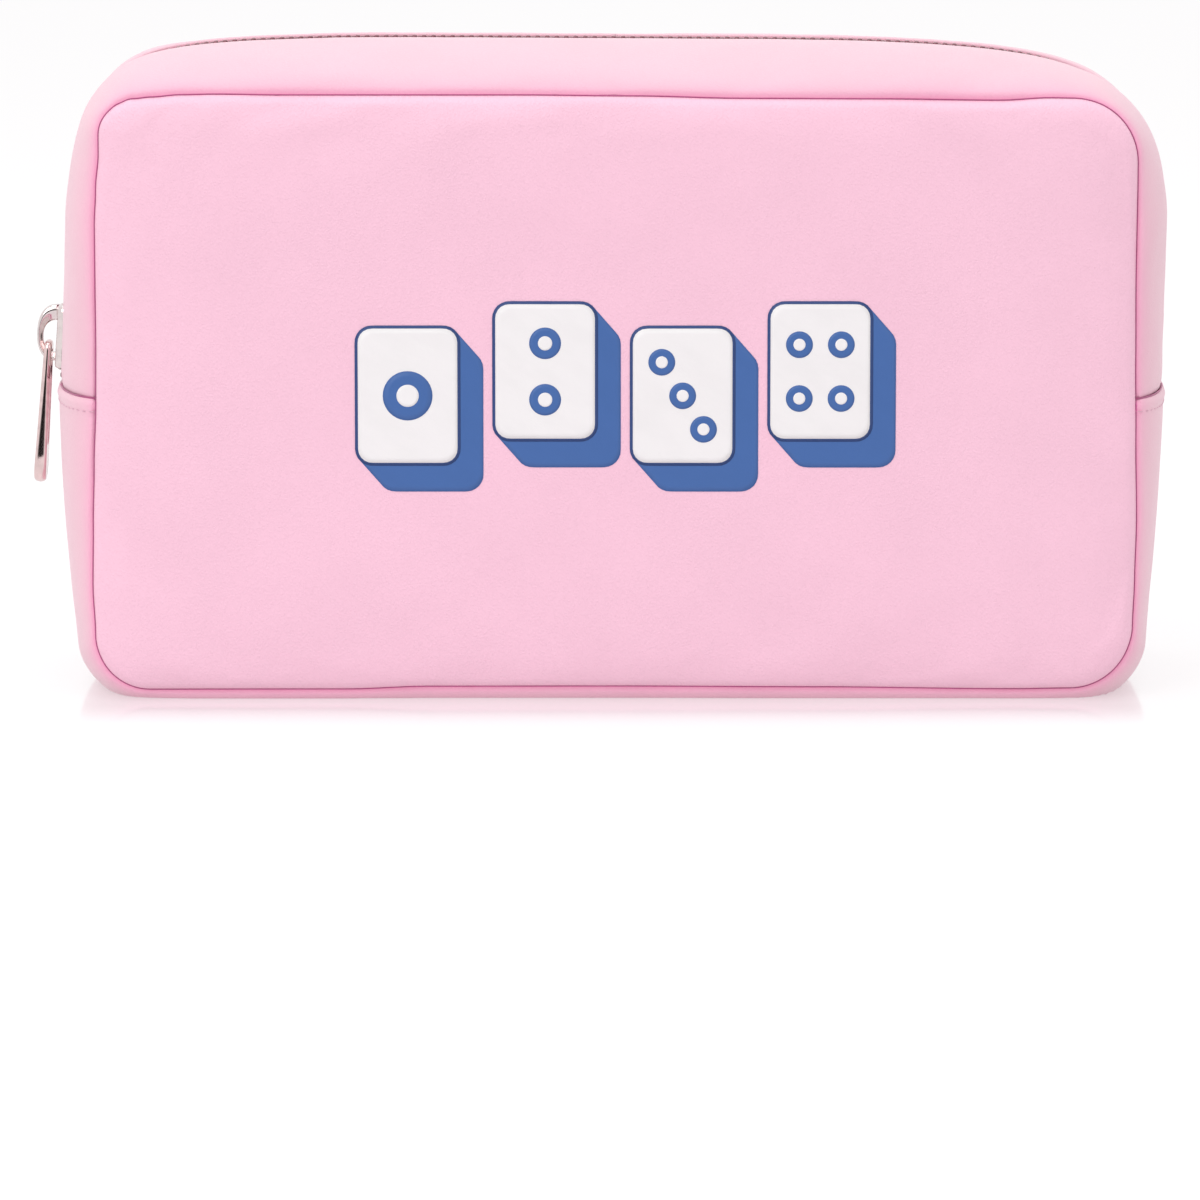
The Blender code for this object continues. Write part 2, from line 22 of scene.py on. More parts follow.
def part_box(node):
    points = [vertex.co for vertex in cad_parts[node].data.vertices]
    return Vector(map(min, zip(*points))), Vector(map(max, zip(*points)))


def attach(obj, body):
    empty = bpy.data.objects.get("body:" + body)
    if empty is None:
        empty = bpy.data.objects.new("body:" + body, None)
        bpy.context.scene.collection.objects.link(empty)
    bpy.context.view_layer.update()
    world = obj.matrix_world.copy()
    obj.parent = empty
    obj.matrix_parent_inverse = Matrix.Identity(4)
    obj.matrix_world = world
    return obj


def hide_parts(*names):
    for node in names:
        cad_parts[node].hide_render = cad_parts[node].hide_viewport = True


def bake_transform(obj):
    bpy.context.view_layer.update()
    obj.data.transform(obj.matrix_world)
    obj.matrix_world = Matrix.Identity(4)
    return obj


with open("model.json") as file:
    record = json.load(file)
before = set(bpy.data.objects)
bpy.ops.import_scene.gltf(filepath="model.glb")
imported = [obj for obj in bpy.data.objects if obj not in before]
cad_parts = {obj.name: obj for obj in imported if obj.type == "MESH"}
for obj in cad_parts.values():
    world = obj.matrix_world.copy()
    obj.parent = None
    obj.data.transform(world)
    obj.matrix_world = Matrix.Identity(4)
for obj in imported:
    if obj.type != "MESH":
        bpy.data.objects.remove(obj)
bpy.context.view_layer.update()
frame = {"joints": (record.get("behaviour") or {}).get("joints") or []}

MM = 0.001
TINY = 1e-9
TINIEST = 1e-12
ACROSS = np.array((0.0, 1.0, 0.0))
LOG = logging.getLogger("tile_bag")

Array = np.ndarray
Colour = tuple[float, float, float]
Material = bpy.types.Material
Piece = bpy.types.Object
Socket = bpy.types.NodeSocket
Solid = tuple[Array, list]
Tree = bpy.types.NodeTree


class Part(Enum):
    """A part of the bag whose word goes into the names of pieces."""

    @property
    def label(self) -> str:
        """Its word in a piece's name."""
        return self.name.lower()


class Side(Part):
    """The two halves of the bag, with the sign of their Y."""

    FRONT = -1
    BACK = 1

    @property
    def fold(self) -> str:
        """The body of the half's mouth fold."""
        return f"{self.label}_mouth_fold"


class End(Part):
    """The two ends of the bag, with the sign of their X."""

    LEFT = -1
    RIGHT = 1


class Weave(Enum):
    """How a woven cloth is bound."""

    PLAIN = "plain"
    HERRINGBONE = "herringbone"


# Shader node helpers
class NodeBoard:
    """A node tree that is being filled, with one call for each kind of node the finishes use."""

    def __init__(self, tree: Tree) -> None:
        """Takes the tree to fill."""
        self.tree = tree

    def link(self, value: object, socket: Socket) -> None:
        """Sets a socket, from another socket or from a plain value."""
        if isinstance(value, bpy.types.NodeSocket):
            self.tree.links.new(value, socket)
        else:
            socket.default_value = value

    def node(self, kind: str, *values: object, **settings: object) -> bpy.types.Node:
        """Adds a node.

        Args:
            kind: Blender's name of the node type, without ShaderNode in front.
            values: what goes into the first sockets, in order; None leaves one as it is.
            settings: the node's own properties.

        Returns:
            The node.
        """
        made = self.tree.nodes.new(f"ShaderNode{kind}")
        for name, value in settings.items():
            setattr(made, name, value)
        for value, socket in zip(values, made.inputs):
            if value is not None:
                self.link(value, socket)
        return made

    def fill(self, node: bpy.types.Node, values: dict[str, object]) -> None:
        """Sets a node's inputs by their names."""
        for label, value in values.items():
            self.link(value, node.inputs[label])

    def sum(self, operation: str, first: object, second: object = 0.0, third: object = None) -> Socket:
        """The result of a Math node."""
        return self.node("Math", first, second, third, operation=operation).outputs[0]

    def times(self, first: object, second: object) -> Socket:
        """One value times another."""
        return self.sum("MULTIPLY", first, second)

    def line(self, value: Socket, slope: object, start: object) -> Socket:
        """A value times a slope, plus a start."""
        return self.sum("MULTIPLY_ADD", value, slope, start)

    def spread(self, value: Socket, low: float, high: float, to_low: float, to_high: float) -> Socket:
        """A value moved smoothly from one range to another, and held at its ends."""
        ranges = (low, high, to_low, to_high)
        return self.node("MapRange", value, *ranges, interpolation_type="SMOOTHSTEP").outputs[0]

    def blend(self, share: object, first: object, second: object) -> Socket:
        """Two colours mixed by a share."""
        made = self.node("Mix", data_type="RGBA")
        for number, value in ((0, share), (6, first), (7, second)):
            self.link(value, made.inputs[number])
        return made.outputs[2]

    def vector(self, operation: str, first: Socket, second: object) -> bpy.types.Node:
        """A Vector Math node."""
        return self.node("VectorMath", first, second, operation=operation)

    def scaled(self, vector: Socket, scale: object) -> Socket:
        """A vector times a number."""
        made = self.vector("SCALE", vector, None)
        self.link(scale, made.inputs[3])
        return made.outputs[0]

    def counted(self, vector: Socket, size: Socket, unit: float = 1.0) -> Socket:
        """A vector counted in steps of a size, each worth one unit."""
        return self.scaled(vector, self.sum("DIVIDE", unit, size))

    def axes(self, vector: Socket) -> list[Socket]:
        """The three numbers of a vector."""
        return list(self.node("SeparateXYZ", vector).outputs)

    def noise(self, vector: Socket, scale: object, detail: float = 2.0) -> Socket:
        """The value of a noise texture."""
        return self.node("TexNoise", vector, None, scale, detail).outputs[0]

    def cells(self, vector: Socket) -> Socket:
        """The distance to the nearest point of a scattered set, one point to each unit."""
        return self.node("TexVoronoi", vector, None, 1.0, feature="F1").outputs[0]

    def bumped(self, strength: float, depth: float, height: Socket) -> Socket:
        """Normals that follow a height."""
        made = self.node("Bump", strength, depth)
        self.link(height, made.inputs["Height"])
        return made.outputs[0]

    def place(self, layer: str) -> Socket:
        """A piece's own cloth coordinates, in metres."""
        return self.node("UVMap", uv_map=layer).outputs[0]

    def seen(self) -> Socket:
        """Whether the camera itself looks at a point."""
        return self.node("LightPath").outputs["Is Camera Ray"]

    def group(self, tree: Tree, **values: object) -> list[Socket]:
        """The outputs of a node group, with its inputs given by name and underscores for spaces."""
        made = self.node("Group", node_tree=tree)
        self.fill(made, {name.replace("_", " "): value for name, value in values.items()})
        return made.outputs


CLOTH_MAP = "cloth"
SEAM_MAP = "seam"


class Effects:
    """The effects that several finishes share, each a node group that is built once."""

    vectors = ("Place", "Distances")

    @classmethod
    def begin(cls, name: str, inputs: tuple[str, ...], outputs: tuple[str, ...]) -> tuple:
        """Starts a group with named sockets: the board to fill it with, its inputs and its output node."""
        tree = bpy.data.node_groups.new(name, "ShaderNodeTree")
        for way, labels in (("INPUT", inputs), ("OUTPUT", outputs)):
            for label in labels:
                kind = "NodeSocketVector" if label in cls.vectors else "NodeSocketFloat"
                tree.interface.new_socket(name=label, in_out=way, socket_type=kind)
        entry, leaving = (tree.nodes.new(kind) for kind in ("NodeGroupInput", "NodeGroupOutput"))
        return NodeBoard(tree), entry.outputs, leaving

    @staticmethod
    @cache
    def grain() -> Tree:
        """Pressed grain of a coated cloth: soft pebbles parted by fine creases, with long shallow pulls."""
        board, entry, leaving = Effects.begin("pressed grain", ("Place", "Pebble Size"), ("Height", "Tone"))
        fine = board.counted(entry["Place"], entry["Pebble Size"])
        drift = board.node("TexNoise", fine, None, 0.6, 2.0).outputs[1]
        bent = board.vector("ADD", fine, board.scaled(drift, 0.9)).outputs[0]
        domes = board.spread(board.cells(bent), 0.05, 0.75, 1.0, 0.0)
        stretched = board.vector("MULTIPLY", fine, (0.32, 0.09, 0.3)).outputs[0]
        height = board.line(board.noise(stretched, 1.0, 3.0), 0.9, board.times(domes, 0.55))
        board.fill(leaving, {"Height": board.line(board.noise(fine, 2.6), 0.25, height), "Tone": domes})
        return board.tree

    @staticmethod
    @cache
    def weave() -> Tree:
        """Plain weave: threads that pass over and under each other by turns."""
        board, entry, leaving = Effects.begin("plain weave", ("Place", "Thread Pitch"), ("Height", "Warp"))
        axes = board.axes(board.counted(entry["Place"], entry["Thread Pitch"], math.pi))
        across, along = (board.sum("SINE", axis) for axis in axes[:2])
        warp = board.sum("GREATER_THAN", board.times(across, along), 0.0)
        over = board.times(board.sum("ABSOLUTE", across), warp)
        under = board.times(board.sum("ABSOLUTE", along), board.sum("SUBTRACT", 1.0, warp))
        board.fill(leaving, {"Height": board.sum("ADD", over, under), "Warp": warp})
        return board.tree

    @staticmethod
    @cache
    def twill() -> Tree:
        """Herringbone: slanting ribs that turn back at every stripe."""
        board, entry, leaving = Effects.begin("herringbone", ("Place", "Thread Pitch"), ("Height", "Warp"))
        axes = board.axes(board.counted(entry["Place"], entry["Thread Pitch"]))
        turned = board.sum("PINGPONG", axes[1], 2.0)
        slant = board.sum("ADD", axes[0], turned)
        ribs = board.sum("ABSOLUTE", board.sum("SINE", board.times(slant, math.pi)))
        board.fill(leaving, {"Height": ribs, "Warp": board.sum("GREATER_THAN", turned, 1.0)})
        return board.tree

    @staticmethod
    @cache
    def shade() -> Tree:
        """Painted shade at a seam, from a point's distances to the joint and to the panel seam: a soft deep
        pink near the panel seam that paints its bounce light and shade, and a thin dark line that paints the
        shadow in the gap of either seam.
        """
        inputs = ("Place", "Distances", "Reach", "Line Reach")
        board, entry, leaving = Effects.begin("seam shade", inputs, ("Glow", "Line"))
        axes = board.axes(entry["Distances"])
        wander = board.noise(entry["Place"], 30.0)
        reach = board.times(board.sum("ADD", wander, 0.5), entry["Reach"])
        depth = board.sum("DIVIDE", axes[1], reach)
        near, wide = (board.sum("EXPONENT", board.times(depth, fall)) for fall in (-1.0, -0.28))
        nearest = board.sum("MINIMUM", axes[0], axes[1])
        narrow = board.sum("POWER", board.sum("DIVIDE", nearest, entry["Line Reach"]), 2.0)
        painted_shade = board.line(wide, 0.35, board.times(near, 0.65))
        board.fill(leaving, {"Glow": painted_shade, "Line": board.sum("EXPONENT", board.times(narrow, -1.0))})
        return board.tree

    @staticmethod
    @cache
    def mottle() -> Tree:
        """Slow unevenness of a dye or a polish."""
        board, entry, leaving = Effects.begin("slow mottle", ("Place", "Patch Size"), ("Value",))
        patches = board.noise(board.counted(entry["Place"], entry["Patch Size"]), 1.0, 3.0)
        board.fill(leaving, {"Value": patches})
        return board.tree


def opaque(colour: Colour) -> tuple[float, float, float, float]:
    """A colour with its alpha."""
    return (*colour, 1.0)


def new_material(name: str) -> tuple[Material, NodeBoard, bpy.types.Node]:
    """A material with a board for its nodes and its Principled shader."""
    material = bpy.data.materials.new(name)
    material.use_nodes = True
    return material, NodeBoard(material.node_tree), material.node_tree.nodes["Principled BSDF"]


@dataclass(frozen=True)
class Finish:
    """What all finishes share: a name, a colour, and a shader that each kind fills in its own way."""

    name: str
    colour: Colour

    def toned(self, share: float = 1.0) -> tuple[float, float, float, float]:
        """The colour, lighter or darker by a share, with its alpha."""
        return opaque(tuple(min(1.0, value * share) for value in self.colour))

    def mottled(self, board: NodeBoard, place: Socket, patch: float) -> Socket:
        """Slow unevenness, in patches of a size."""
        return board.group(Effects.mottle(), Place=place, Patch_Size=patch)[0]

    def inputs(self, board: NodeBoard, place: Socket) -> dict[str, object]:
        """What goes into the shader, by the names of its inputs."""
        raise NotImplementedError

    @cache
    def material(self) -> Material:
        """The material, built once."""
        material, board, shader = new_material(self.name)
        board.fill(shader, self.inputs(board, board.place(CLOTH_MAP)))
        return material


@dataclass(frozen=True)
class CoatedCloth(Finish):
    """Soft coated cloth with a fine pressed grain, and painted shade where it turns into a seam: a deep pink
    for the groove's bounce light and shade, and a thin dark line for the shadow in the seam's gap.
    """

    # The seam colour, share and reach paint the groove's shade; the line colour and reach paint the shadow
    # in the seam's gap. Neither is the cloth's own colour.
    seam_colour: Colour
    seam_share: float
    seam_reach: float
    sheen: float
    line_reach: float
    grain_depth: float
    line_colour: Colour = (0.5, 0.07, 0.26)
    pebble: float = 0.62 * MM
    patch: float = 26 * MM
    darker: float = 0.985
    lighter: float = 1.012
    roughness: float = 0.48

    def inputs(self, board: NodeBoard, place: Socket) -> dict[str, object]:
        """The grain, the dye, and the painted shade and painted shadow line at its seams."""
        grain = board.group(Effects.grain(), Place=place, Pebble_Size=self.pebble)
        reaches = {"Reach": self.seam_reach, "Line_Reach": self.line_reach}
        shade = board.group(Effects.shade(), Place=place, Distances=board.place(SEAM_MAP), **reaches)
        mottle = board.spread(self.mottled(board, place, self.patch), 0.3, 0.7, 0.0, 1.0)
        dyed = board.blend(mottle, self.toned(self.darker), self.toned(self.lighter))
        # Painted shade: deep pink blended in near the seam, standing in for the groove's bounce light and
        # shade.
        deep = board.blend(board.times(shade["Glow"], self.seam_share), dyed, opaque(self.seam_colour))
        return {
            # Painted shadow: a thin dark line where the seam's gap lies in shadow.
            "Base Color": board.blend(shade["Line"], deep, opaque(self.line_colour)),
            "Roughness": board.line(grain["Tone"], -0.07, self.roughness + 0.035),
            "Normal": board.bumped(0.85, self.grain_depth, grain["Height"]),
            "Specular IOR Level": 0.38,
            "Sheen Weight": self.sheen,
            "Sheen Roughness": 0.4,
        }


@dataclass(frozen=True)
class WovenCloth(Finish):
    """A woven cloth whose threads cross at a pitch."""

    shadow: Colour
    pitch: float
    weave: Weave
    patch: float = 18 * MM
    depth: float = 0.06 * MM
    roughness: float = 0.55
    sheen: float = 0.3

    def inputs(self, board: NodeBoard, place: Socket) -> dict[str, object]:
        """The threads, darker between them."""
        tree = Effects.weave() if self.weave is Weave.PLAIN else Effects.twill()
        threads = board.group(tree, Place=place, Thread_Pitch=self.pitch)
        height, shadow = threads["Height"], opaque(self.shadow)
        mottle = board.spread(self.mottled(board, place, self.patch), 0.3, 0.7, 0.0, 0.35)
        between = board.times(board.sum("SUBTRACT", 1.0, height), 0.6)
        return {
            "Base Color": board.blend(between, board.blend(mottle, self.toned(), shadow), shadow),
            "Roughness": board.line(threads["Warp"], -0.08, self.roughness),
            "Normal": board.bumped(0.9, self.depth, height),
            "Sheen Weight": self.sheen,
            "Specular IOR Level": 0.35,
        }


@dataclass(frozen=True)
class Padding(Finish):
    """Open foam, matt and finely pored."""

    pore: float = 0.7 * MM
    depth: float = 0.2 * MM
    darker: float = 0.75

    def inputs(self, board: NodeBoard, place: Socket) -> dict[str, object]:
        """A pale body with darker pores: painted shade in the pores' hollows."""
        pores = board.spread(board.cells(board.scaled(place, 1.0 / self.pore)), 0.1, 0.6, 0.0, 1.0)
        return {
            # Painted shade: darker in the pores, where the foam's holes fall into shade.
            "Base Color": board.blend(pores, self.toned(self.darker), self.toned()),
            "Normal": board.bumped(0.8, self.depth, pores),
            "Roughness": 0.92,
            "Specular IOR Level": 0.2,
        }


@dataclass(frozen=True)
class Metal(Finish):
    """Plated metal with faint hairlines and a slow unevenness of its polish."""

    roughness: float
    hairline: float = 0.2 * MM
    patch: float = 3 * MM
    depth: float = 0.01 * MM
    darker: float = 0.86

    def inputs(self, board: NodeBoard, place: Socket) -> dict[str, object]:
        """The hairlines and the polish."""
        stretched = board.vector("MULTIPLY", place, (0.12, 1.0, 1.0)).outputs[0]
        lines = board.noise(stretched, 1.0 / self.hairline)
        mottle = self.mottled(board, place, self.patch)
        toned = board.spread(mottle, 0.35, 0.75, 0.0, 1.0)
        return {
            "Base Color": board.blend(toned, self.toned(), self.toned(self.darker)),
            "Roughness": board.line(mottle, 0.03, board.line(lines, 0.03, self.roughness)),
            "Normal": board.bumped(0.25, self.depth, lines),
            "Metallic": 1.0,
        }


@dataclass(frozen=True)
class Thread(Finish):
    """Twisted sewing thread."""

    twist: float = 0.35 * MM
    depth: float = 0.05 * MM
    darker: float = 0.7

    def inputs(self, board: NodeBoard, place: Socket) -> dict[str, object]:
        """Strands that wind round the thread, with painted shade darker in the grooves between them."""
        axes = board.axes(place)
        slant = board.times(board.sum("ADD", axes[0], axes[1]), math.tau / self.twist)
        strands = board.line(board.sum("SINE", slant), 0.5, 0.5)
        return {
            # Painted shade: darker in the grooves between strands.
            "Base Color": board.blend(strands, self.toned(self.darker), self.toned()),
            "Normal": board.bumped(0.7, self.depth, strands),
            "Roughness": 0.45,
            "Sheen Weight": 0.3,
        }


@dataclass(frozen=True)
class Print(Finish):
    """A thin printed film that takes on the grain of the cloth beneath it."""

    pebble: float = 0.62 * MM
    patch: float = 9 * MM
    depth: float = 0.03 * MM
    darker: float = 0.975

    def inputs(self, board: NodeBoard, place: Socket) -> dict[str, object]:
        """The ink over the grain."""
        grain = board.group(Effects.grain(), Place=place, Pebble_Size=self.pebble)
        mottle = board.spread(self.mottled(board, place, self.patch), 0.35, 0.7, 0.0, 1.0)
        return {
            "Base Color": board.blend(mottle, self.toned(), self.toned(self.darker)),
            "Normal": board.bumped(0.6, self.depth, grain["Height"]),
            "Roughness": board.line(grain["Tone"], -0.05, 0.47),
        }


# Each second colour, with its share and reach, is the painted seam shade; the line reach sets the width of
# the painted shadow line.
PANEL_CLOTH = CoatedCloth(
    "pink_panel_cloth", (0.92, 0.555, 0.69), (0.9, 0.3, 0.5),
    seam_share=0.06, seam_reach=0.5 * MM, sheen=0.17, line_reach=0.06 * MM, grain_depth=0.15 * MM,
)
GUSSET_CLOTH = CoatedCloth(
    "pink_gusset_cloth", (0.845, 0.53, 0.615), (1.0, 0.29, 0.58),
    seam_share=0.6, seam_reach=1.4 * MM, sheen=0.25, line_reach=0.2 * MM, grain_depth=0.08 * MM,
)
LINING = WovenCloth("pink_nylon", (0.80, 0.33, 0.5), (0.55, 0.14, 0.28), 0.45 * MM, Weave.PLAIN)
TAPE = WovenCloth("zip_tape_weave", (0.86, 0.52, 0.58), (0.6, 0.25, 0.34), 0.5 * MM, Weave.HERRINGBONE)
FOAM = Padding("open_foam", (0.86, 0.83, 0.76))
# Gold-coated teeth with a dark base colour: painted shade for the dark surroundings they mirror and the
# shadowed gaps between them.
COIL = Metal("bronze_teeth", (0.25, 0.1, 0.12), 0.26)
SLIDER_PLATING = Metal("slider_plating", (0.82, 0.73, 0.72), 0.06)
PULL_PLATING = Metal("pull_plating", (0.84, 0.65, 0.64), 0.05)
# A real seam thread, made dark so that it draws the seams' shadow lines: painted shadow.
SEAM_SHADOW_THREAD = Thread("magenta_thread", (0.49, 0.07, 0.23))
TOP_THREAD = Thread("pink_thread", (0.9, 0.5, 0.64))
WHITE_FILM = Print("white_film", (0.87, 0.84, 0.85))
BLUE_FILM = Print("blue_film", (0.047, 0.13, 0.38))
NAVY_FILM = Print("navy_film", (0.02, 0.055, 0.2))


# Numbers and rows of points
def unit(value: Array) -> Array:
    """A value held between 0 and 1."""
    return np.clip(value, 0.0, 1.0)


def eased(share: Array, height: Array | float = 1.0) -> Array:
    """A height that is reached smoothly as a share goes from 0 to 1."""
    share = unit(share)
    return height * share**2 * (3.0 - 2.0 * share)


def hill(distance: Array, width: float) -> Array:
    """A bell-shaped hill of height 1 at a distance from its middle."""
    return np.exp(-((distance / width) ** 2))


def travelled(points: Array, axis: int = 0) -> Array:
    """How far a path, or each row or column of a grid, has run at each of its points."""
    steps = np.linalg.norm(np.diff(points, axis=axis), axis=-1)
    return np.concatenate((np.zeros_like(steps.take([0], axis)), np.cumsum(steps, axis=axis)), axis=axis)


def sampled(at: Array, run: Array, values: Array) -> Array:
    """Rows of values read off at places along a run."""
    return np.stack([np.interp(at, run, column) for column in values.T], -1)


def bulged(value: Array, power: float) -> Array:
    """A value between -1 and 1 raised to a power, with its sign kept."""
    return np.sign(value) * abs(value) ** power


def round_angles(count: int) -> Array:
    """Evenly spaced angles once round."""
    return np.linspace(0.0, math.tau, count, endpoint=False)


# Meshes
def link_mesh(name: str, points: list, faces: list) -> Piece:
    """A mesh object in the scene."""
    mesh = bpy.data.meshes.new(name)
    mesh.from_pydata(points, [], faces)
    piece = bpy.data.objects.new(name, mesh)
    bpy.context.scene.collection.objects.link(piece)
    return piece


def perimeter(rows: int, columns: int) -> list[tuple[int, int]]:
    """The places round the edge of a grid, in order."""
    edge = [(row, 0) for row in range(rows)]
    edge += [(rows - 1, column) for column in range(1, columns)]
    edge += [(row, columns - 1) for row in reversed(range(rows - 1))]
    edge += [(0, column) for column in reversed(range(1, columns - 1))]
    return edge


def grid_faces(rows: int, columns: int, first: int = 0) -> Array:
    """The quads of a grid of points that starts at an index."""
    index = np.arange(rows * columns).reshape(rows, columns) + first
    return np.stack((index[:-1, :-1], index[:-1, 1:], index[1:, 1:], index[1:, :-1]), -1).reshape(-1, 4)


def ring_faces(levels: int, sides: int, closed: bool = False) -> list:
    """The quads between rings of points, whose ends are capped, or joined to each other when closed."""
    level, side = np.divmod(np.arange((levels - (not closed)) * sides), sides)
    base, above, following = level * sides, (level + 1) % levels * sides, (side + 1) % sides
    quads = np.stack((base + side, base + following, above + following, above + side), 1).tolist()
    caps = [] if closed else [list(range(sides)), list(range((levels - 1) * sides, levels * sides))]
    return caps + quads


def dress(piece: Piece, finish: Finish, slot: str, body: str | None, *nodes: str) -> Piece:
    """Gives a piece its material and the body it rides on, if any, and hides the frame's nodes that it
    stands for.
    """
    piece.data.materials.append(finish.material())
    if body:
        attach(piece, body)
    if nodes:
        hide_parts(*nodes)
    return piece


def add_piece(name: str, points: Array, faces: list, cloth: Array, seam: Array | None = None) -> Piece:
    """A mesh object, with its faces turned outwards and its cloth coordinates.

    Args:
        name: the piece's name.
        points: its points, one row each.
        faces: its faces, as lists of point numbers.
        cloth: two cloth coordinates for each point, in metres.
        seam: the place along the nearest seam and the distance to it, for each point.

    Returns:
        The object.
    """
    piece = link_mesh(name, np.asarray(points, float).tolist(), [list(map(int, face)) for face in faces])
    mesh = piece.data
    build = bmesh.new()
    build.from_mesh(mesh)
    bmesh.ops.recalc_face_normals(build, faces=build.faces)
    build.to_mesh(mesh)
    build.free()
    corners = np.zeros(len(mesh.loops), np.int32)
    mesh.loops.foreach_get("vertex_index", corners)
    for label, values in ((CLOTH_MAP, cloth), (SEAM_MAP, seam)):
        if values is not None:
            layer = mesh.uv_layers.new(name=label)
            layer.data.foreach_set("uv", np.asarray(values, np.float32)[corners].ravel())
    mesh.shade_smooth()
    return piece


def tube(path: Array, radii: Array | float, sides: int, up: Array = (0.0, 0.0, 1.0)) -> Solid:
    """A closed tube along a path, with round ends where its radii run out.

    Args:
        path: the points it follows.
        radii: one radius for all of it, or one for each point.
        sides: how many sides it has.
        up: a direction that it doesn't run in.

    Returns:
        Its points and its faces.
    """
    along = np.gradient(path, axis=0)
    along /= np.linalg.norm(along, axis=1)[:, None]
    across = np.cross(along, up)
    across /= np.linalg.norm(across, axis=1)[:, None]
    rise = np.cross(across, along)
    angles = round_angles(sides)[None, :, None]
    ring = np.cos(angles) * across[:, None] + np.sin(angles) * rise[:, None]
    points = path[:, None] + ring * np.broadcast_to(radii, len(path))[:, None, None]
    return points.reshape(-1, 3), ring_faces(len(path), sides)


def loft(sections: list[Array]) -> Solid:
    """A closed body through closed sections, with flat ends."""
    return np.concatenate(sections), ring_faces(len(sections), len(sections[0]))


class Bundle:
    """Many small closed bodies that make up one piece, such as stitches or teeth."""

    def __init__(self) -> None:
        """Starts an empty bundle."""
        self.points: list[Array] = []
        self.faces: list[list[int]] = []
        self.count = 0

    def add(self, points: Array, faces: list) -> "Bundle":
        """Adds one body, and returns the bundle."""
        self.faces += [[index + self.count for index in face] for face in faces]
        self.points.append(np.asarray(points))
        self.count += len(points)
        return self

    def piece(self, name: str) -> Piece:
        """The object of all that was added, with cloth coordinates taken from where each point lies."""
        points = np.concatenate(self.points)
        cloth = np.stack((points[:, 0] + points[:, 2], points[:, 1] + points[:, 2]), 1)
        return add_piece(name, points, self.faces, cloth)


def spline_weights(fine: int, coarse: int) -> Array:
    """Weights that spread a coarse row of values smoothly over a finer row."""
    at = np.linspace(0.0, coarse - 1.0, fine)
    base = np.minimum(at.astype(int), coarse - 2)
    share = at - base
    weights = np.zeros((fine, coarse))
    parts = (
        (1 - share) ** 3,
        3 * share**3 - 6 * share**2 + 4,
        -3 * share**3 + 3 * share**2 + 3 * share + 1,
        share**3,
    )
    for offset, part in zip((-1, 0, 1, 2), parts):
        columns = np.clip(base + offset, 0, coarse - 1)
        np.add.at(weights, (np.arange(fine), columns), part / 6)
    return weights


def smoothed(field: Array, times: int) -> Array:
    """A field of values, averaged with its neighbours a number of times."""
    for _ in range(times):
        padded = np.pad(field, 1, mode="edge")
        field = (padded[:-2, 1:-1] + padded[2:, 1:-1] + padded[1:-1, :-2] + padded[1:-1, 2:] + 4 * field) / 8
    return field


def grid_normals(points: Array) -> Array:
    """Unit normals of a grid of points."""
    normals = np.cross(np.gradient(points, axis=0), np.gradient(points, axis=1))
    length = np.linalg.norm(normals, axis=2)
    return normals / np.maximum(length, TINIEST)[..., None]


@dataclass(frozen=True)
class SewnCloth:
    """Cloth that is sewn down along its edges over padding, and the creases that it settles into."""

    seed: int
    growth: float = 0.006
    pressure: float = 0.25
    hold: float = 0.02
    frames: int = 16
    crease: float = 0.34 * MM
    dither: float = 0.05 * MM
    swell_steps: int = 24
    spread: float = 1.6
    highest: float = 2.2

    def settle(self, points: Array) -> Array:
        """Lets a grid of cloth settle with its edges held.

        Args:
            points: the coarse grid of points.

        Returns:
            How far each point has moved along the grid's normals, without the slow swell.
        """
        rows, columns = points.shape[:2]
        normals = grid_normals(points)
        dither = np.random.default_rng(self.seed).normal(0.0, self.dither, (rows, columns))
        held = np.zeros((rows, columns), bool)
        held[0] = held[-1] = held[:, 0] = held[:, -1] = True
        start = points + normals * np.where(held, 0.0, dither)[..., None]
        sheet = link_mesh("settling", start.reshape(-1, 3).tolist(), grid_faces(rows, columns).tolist())
        sewn = sheet.vertex_groups.new(name="sewn")
        numbers = np.arange(rows * columns)
        for chosen, weight in ((held, 1.0), (~held, self.hold)):
            sewn.add(numbers[chosen.ravel()].tolist(), weight, "REPLACE")
        moved = self.run(sheet)
        bpy.data.objects.remove(sheet, do_unlink=True)
        rise = ((moved.reshape(rows, columns, 3) - points) * normals).sum(-1)
        creases = rise - smoothed(rise, self.swell_steps)
        creases *= self.crease / max(creases.std() * self.spread, TINY)
        most = self.crease * self.highest
        return np.where(held, 0.0, most * np.tanh(creases / most))

    def run(self, sheet: Piece) -> Array:
        """Runs the cloth and returns its points."""
        modifier = sheet.modifiers.new("cloth", "CLOTH")
        chosen = {
            "quality": 5, "mass": 0.2, "tension_stiffness": 25.0, "compression_stiffness": 25.0,
            "shear_stiffness": 8.0, "bending_stiffness": 1.5, "vertex_group_mass": "sewn",
            "shrink_min": -self.growth, "shrink_max": -self.growth,
            "use_pressure": True, "uniform_pressure_force": self.pressure,
        }
        for name, value in chosen.items():
            setattr(modifier.settings, name, value)
        modifier.settings.effector_weights.gravity = 0.0
        modifier.collision_settings.use_collision = False
        modifier.point_cache.frame_start = 1
        modifier.point_cache.frame_end = self.frames
        scene = bpy.context.scene
        for number in range(1, self.frames + 1):
            scene.frame_set(number)
        shown = sheet.evaluated_get(bpy.context.evaluated_depsgraph_get())
        moved = np.zeros(len(sheet.data.vertices) * 3)
        shown.data.vertices.foreach_get("co", moved)
        scene.frame_set(1)
        return moved

    def creases(self, points: Array, row_step: int, column_step: int) -> Array:
        rows, columns = points.shape[:2]
        weights = [spline_weights(rows, rows // row_step), spline_weights(columns, columns // column_step)]
        coarse = [np.linspace(0, len(table) - 1, table.shape[1]).round().astype(int) for table in weights]
        return weights[0] @ self.settle(points[np.ix_(*coarse)]) @ weights[1].T


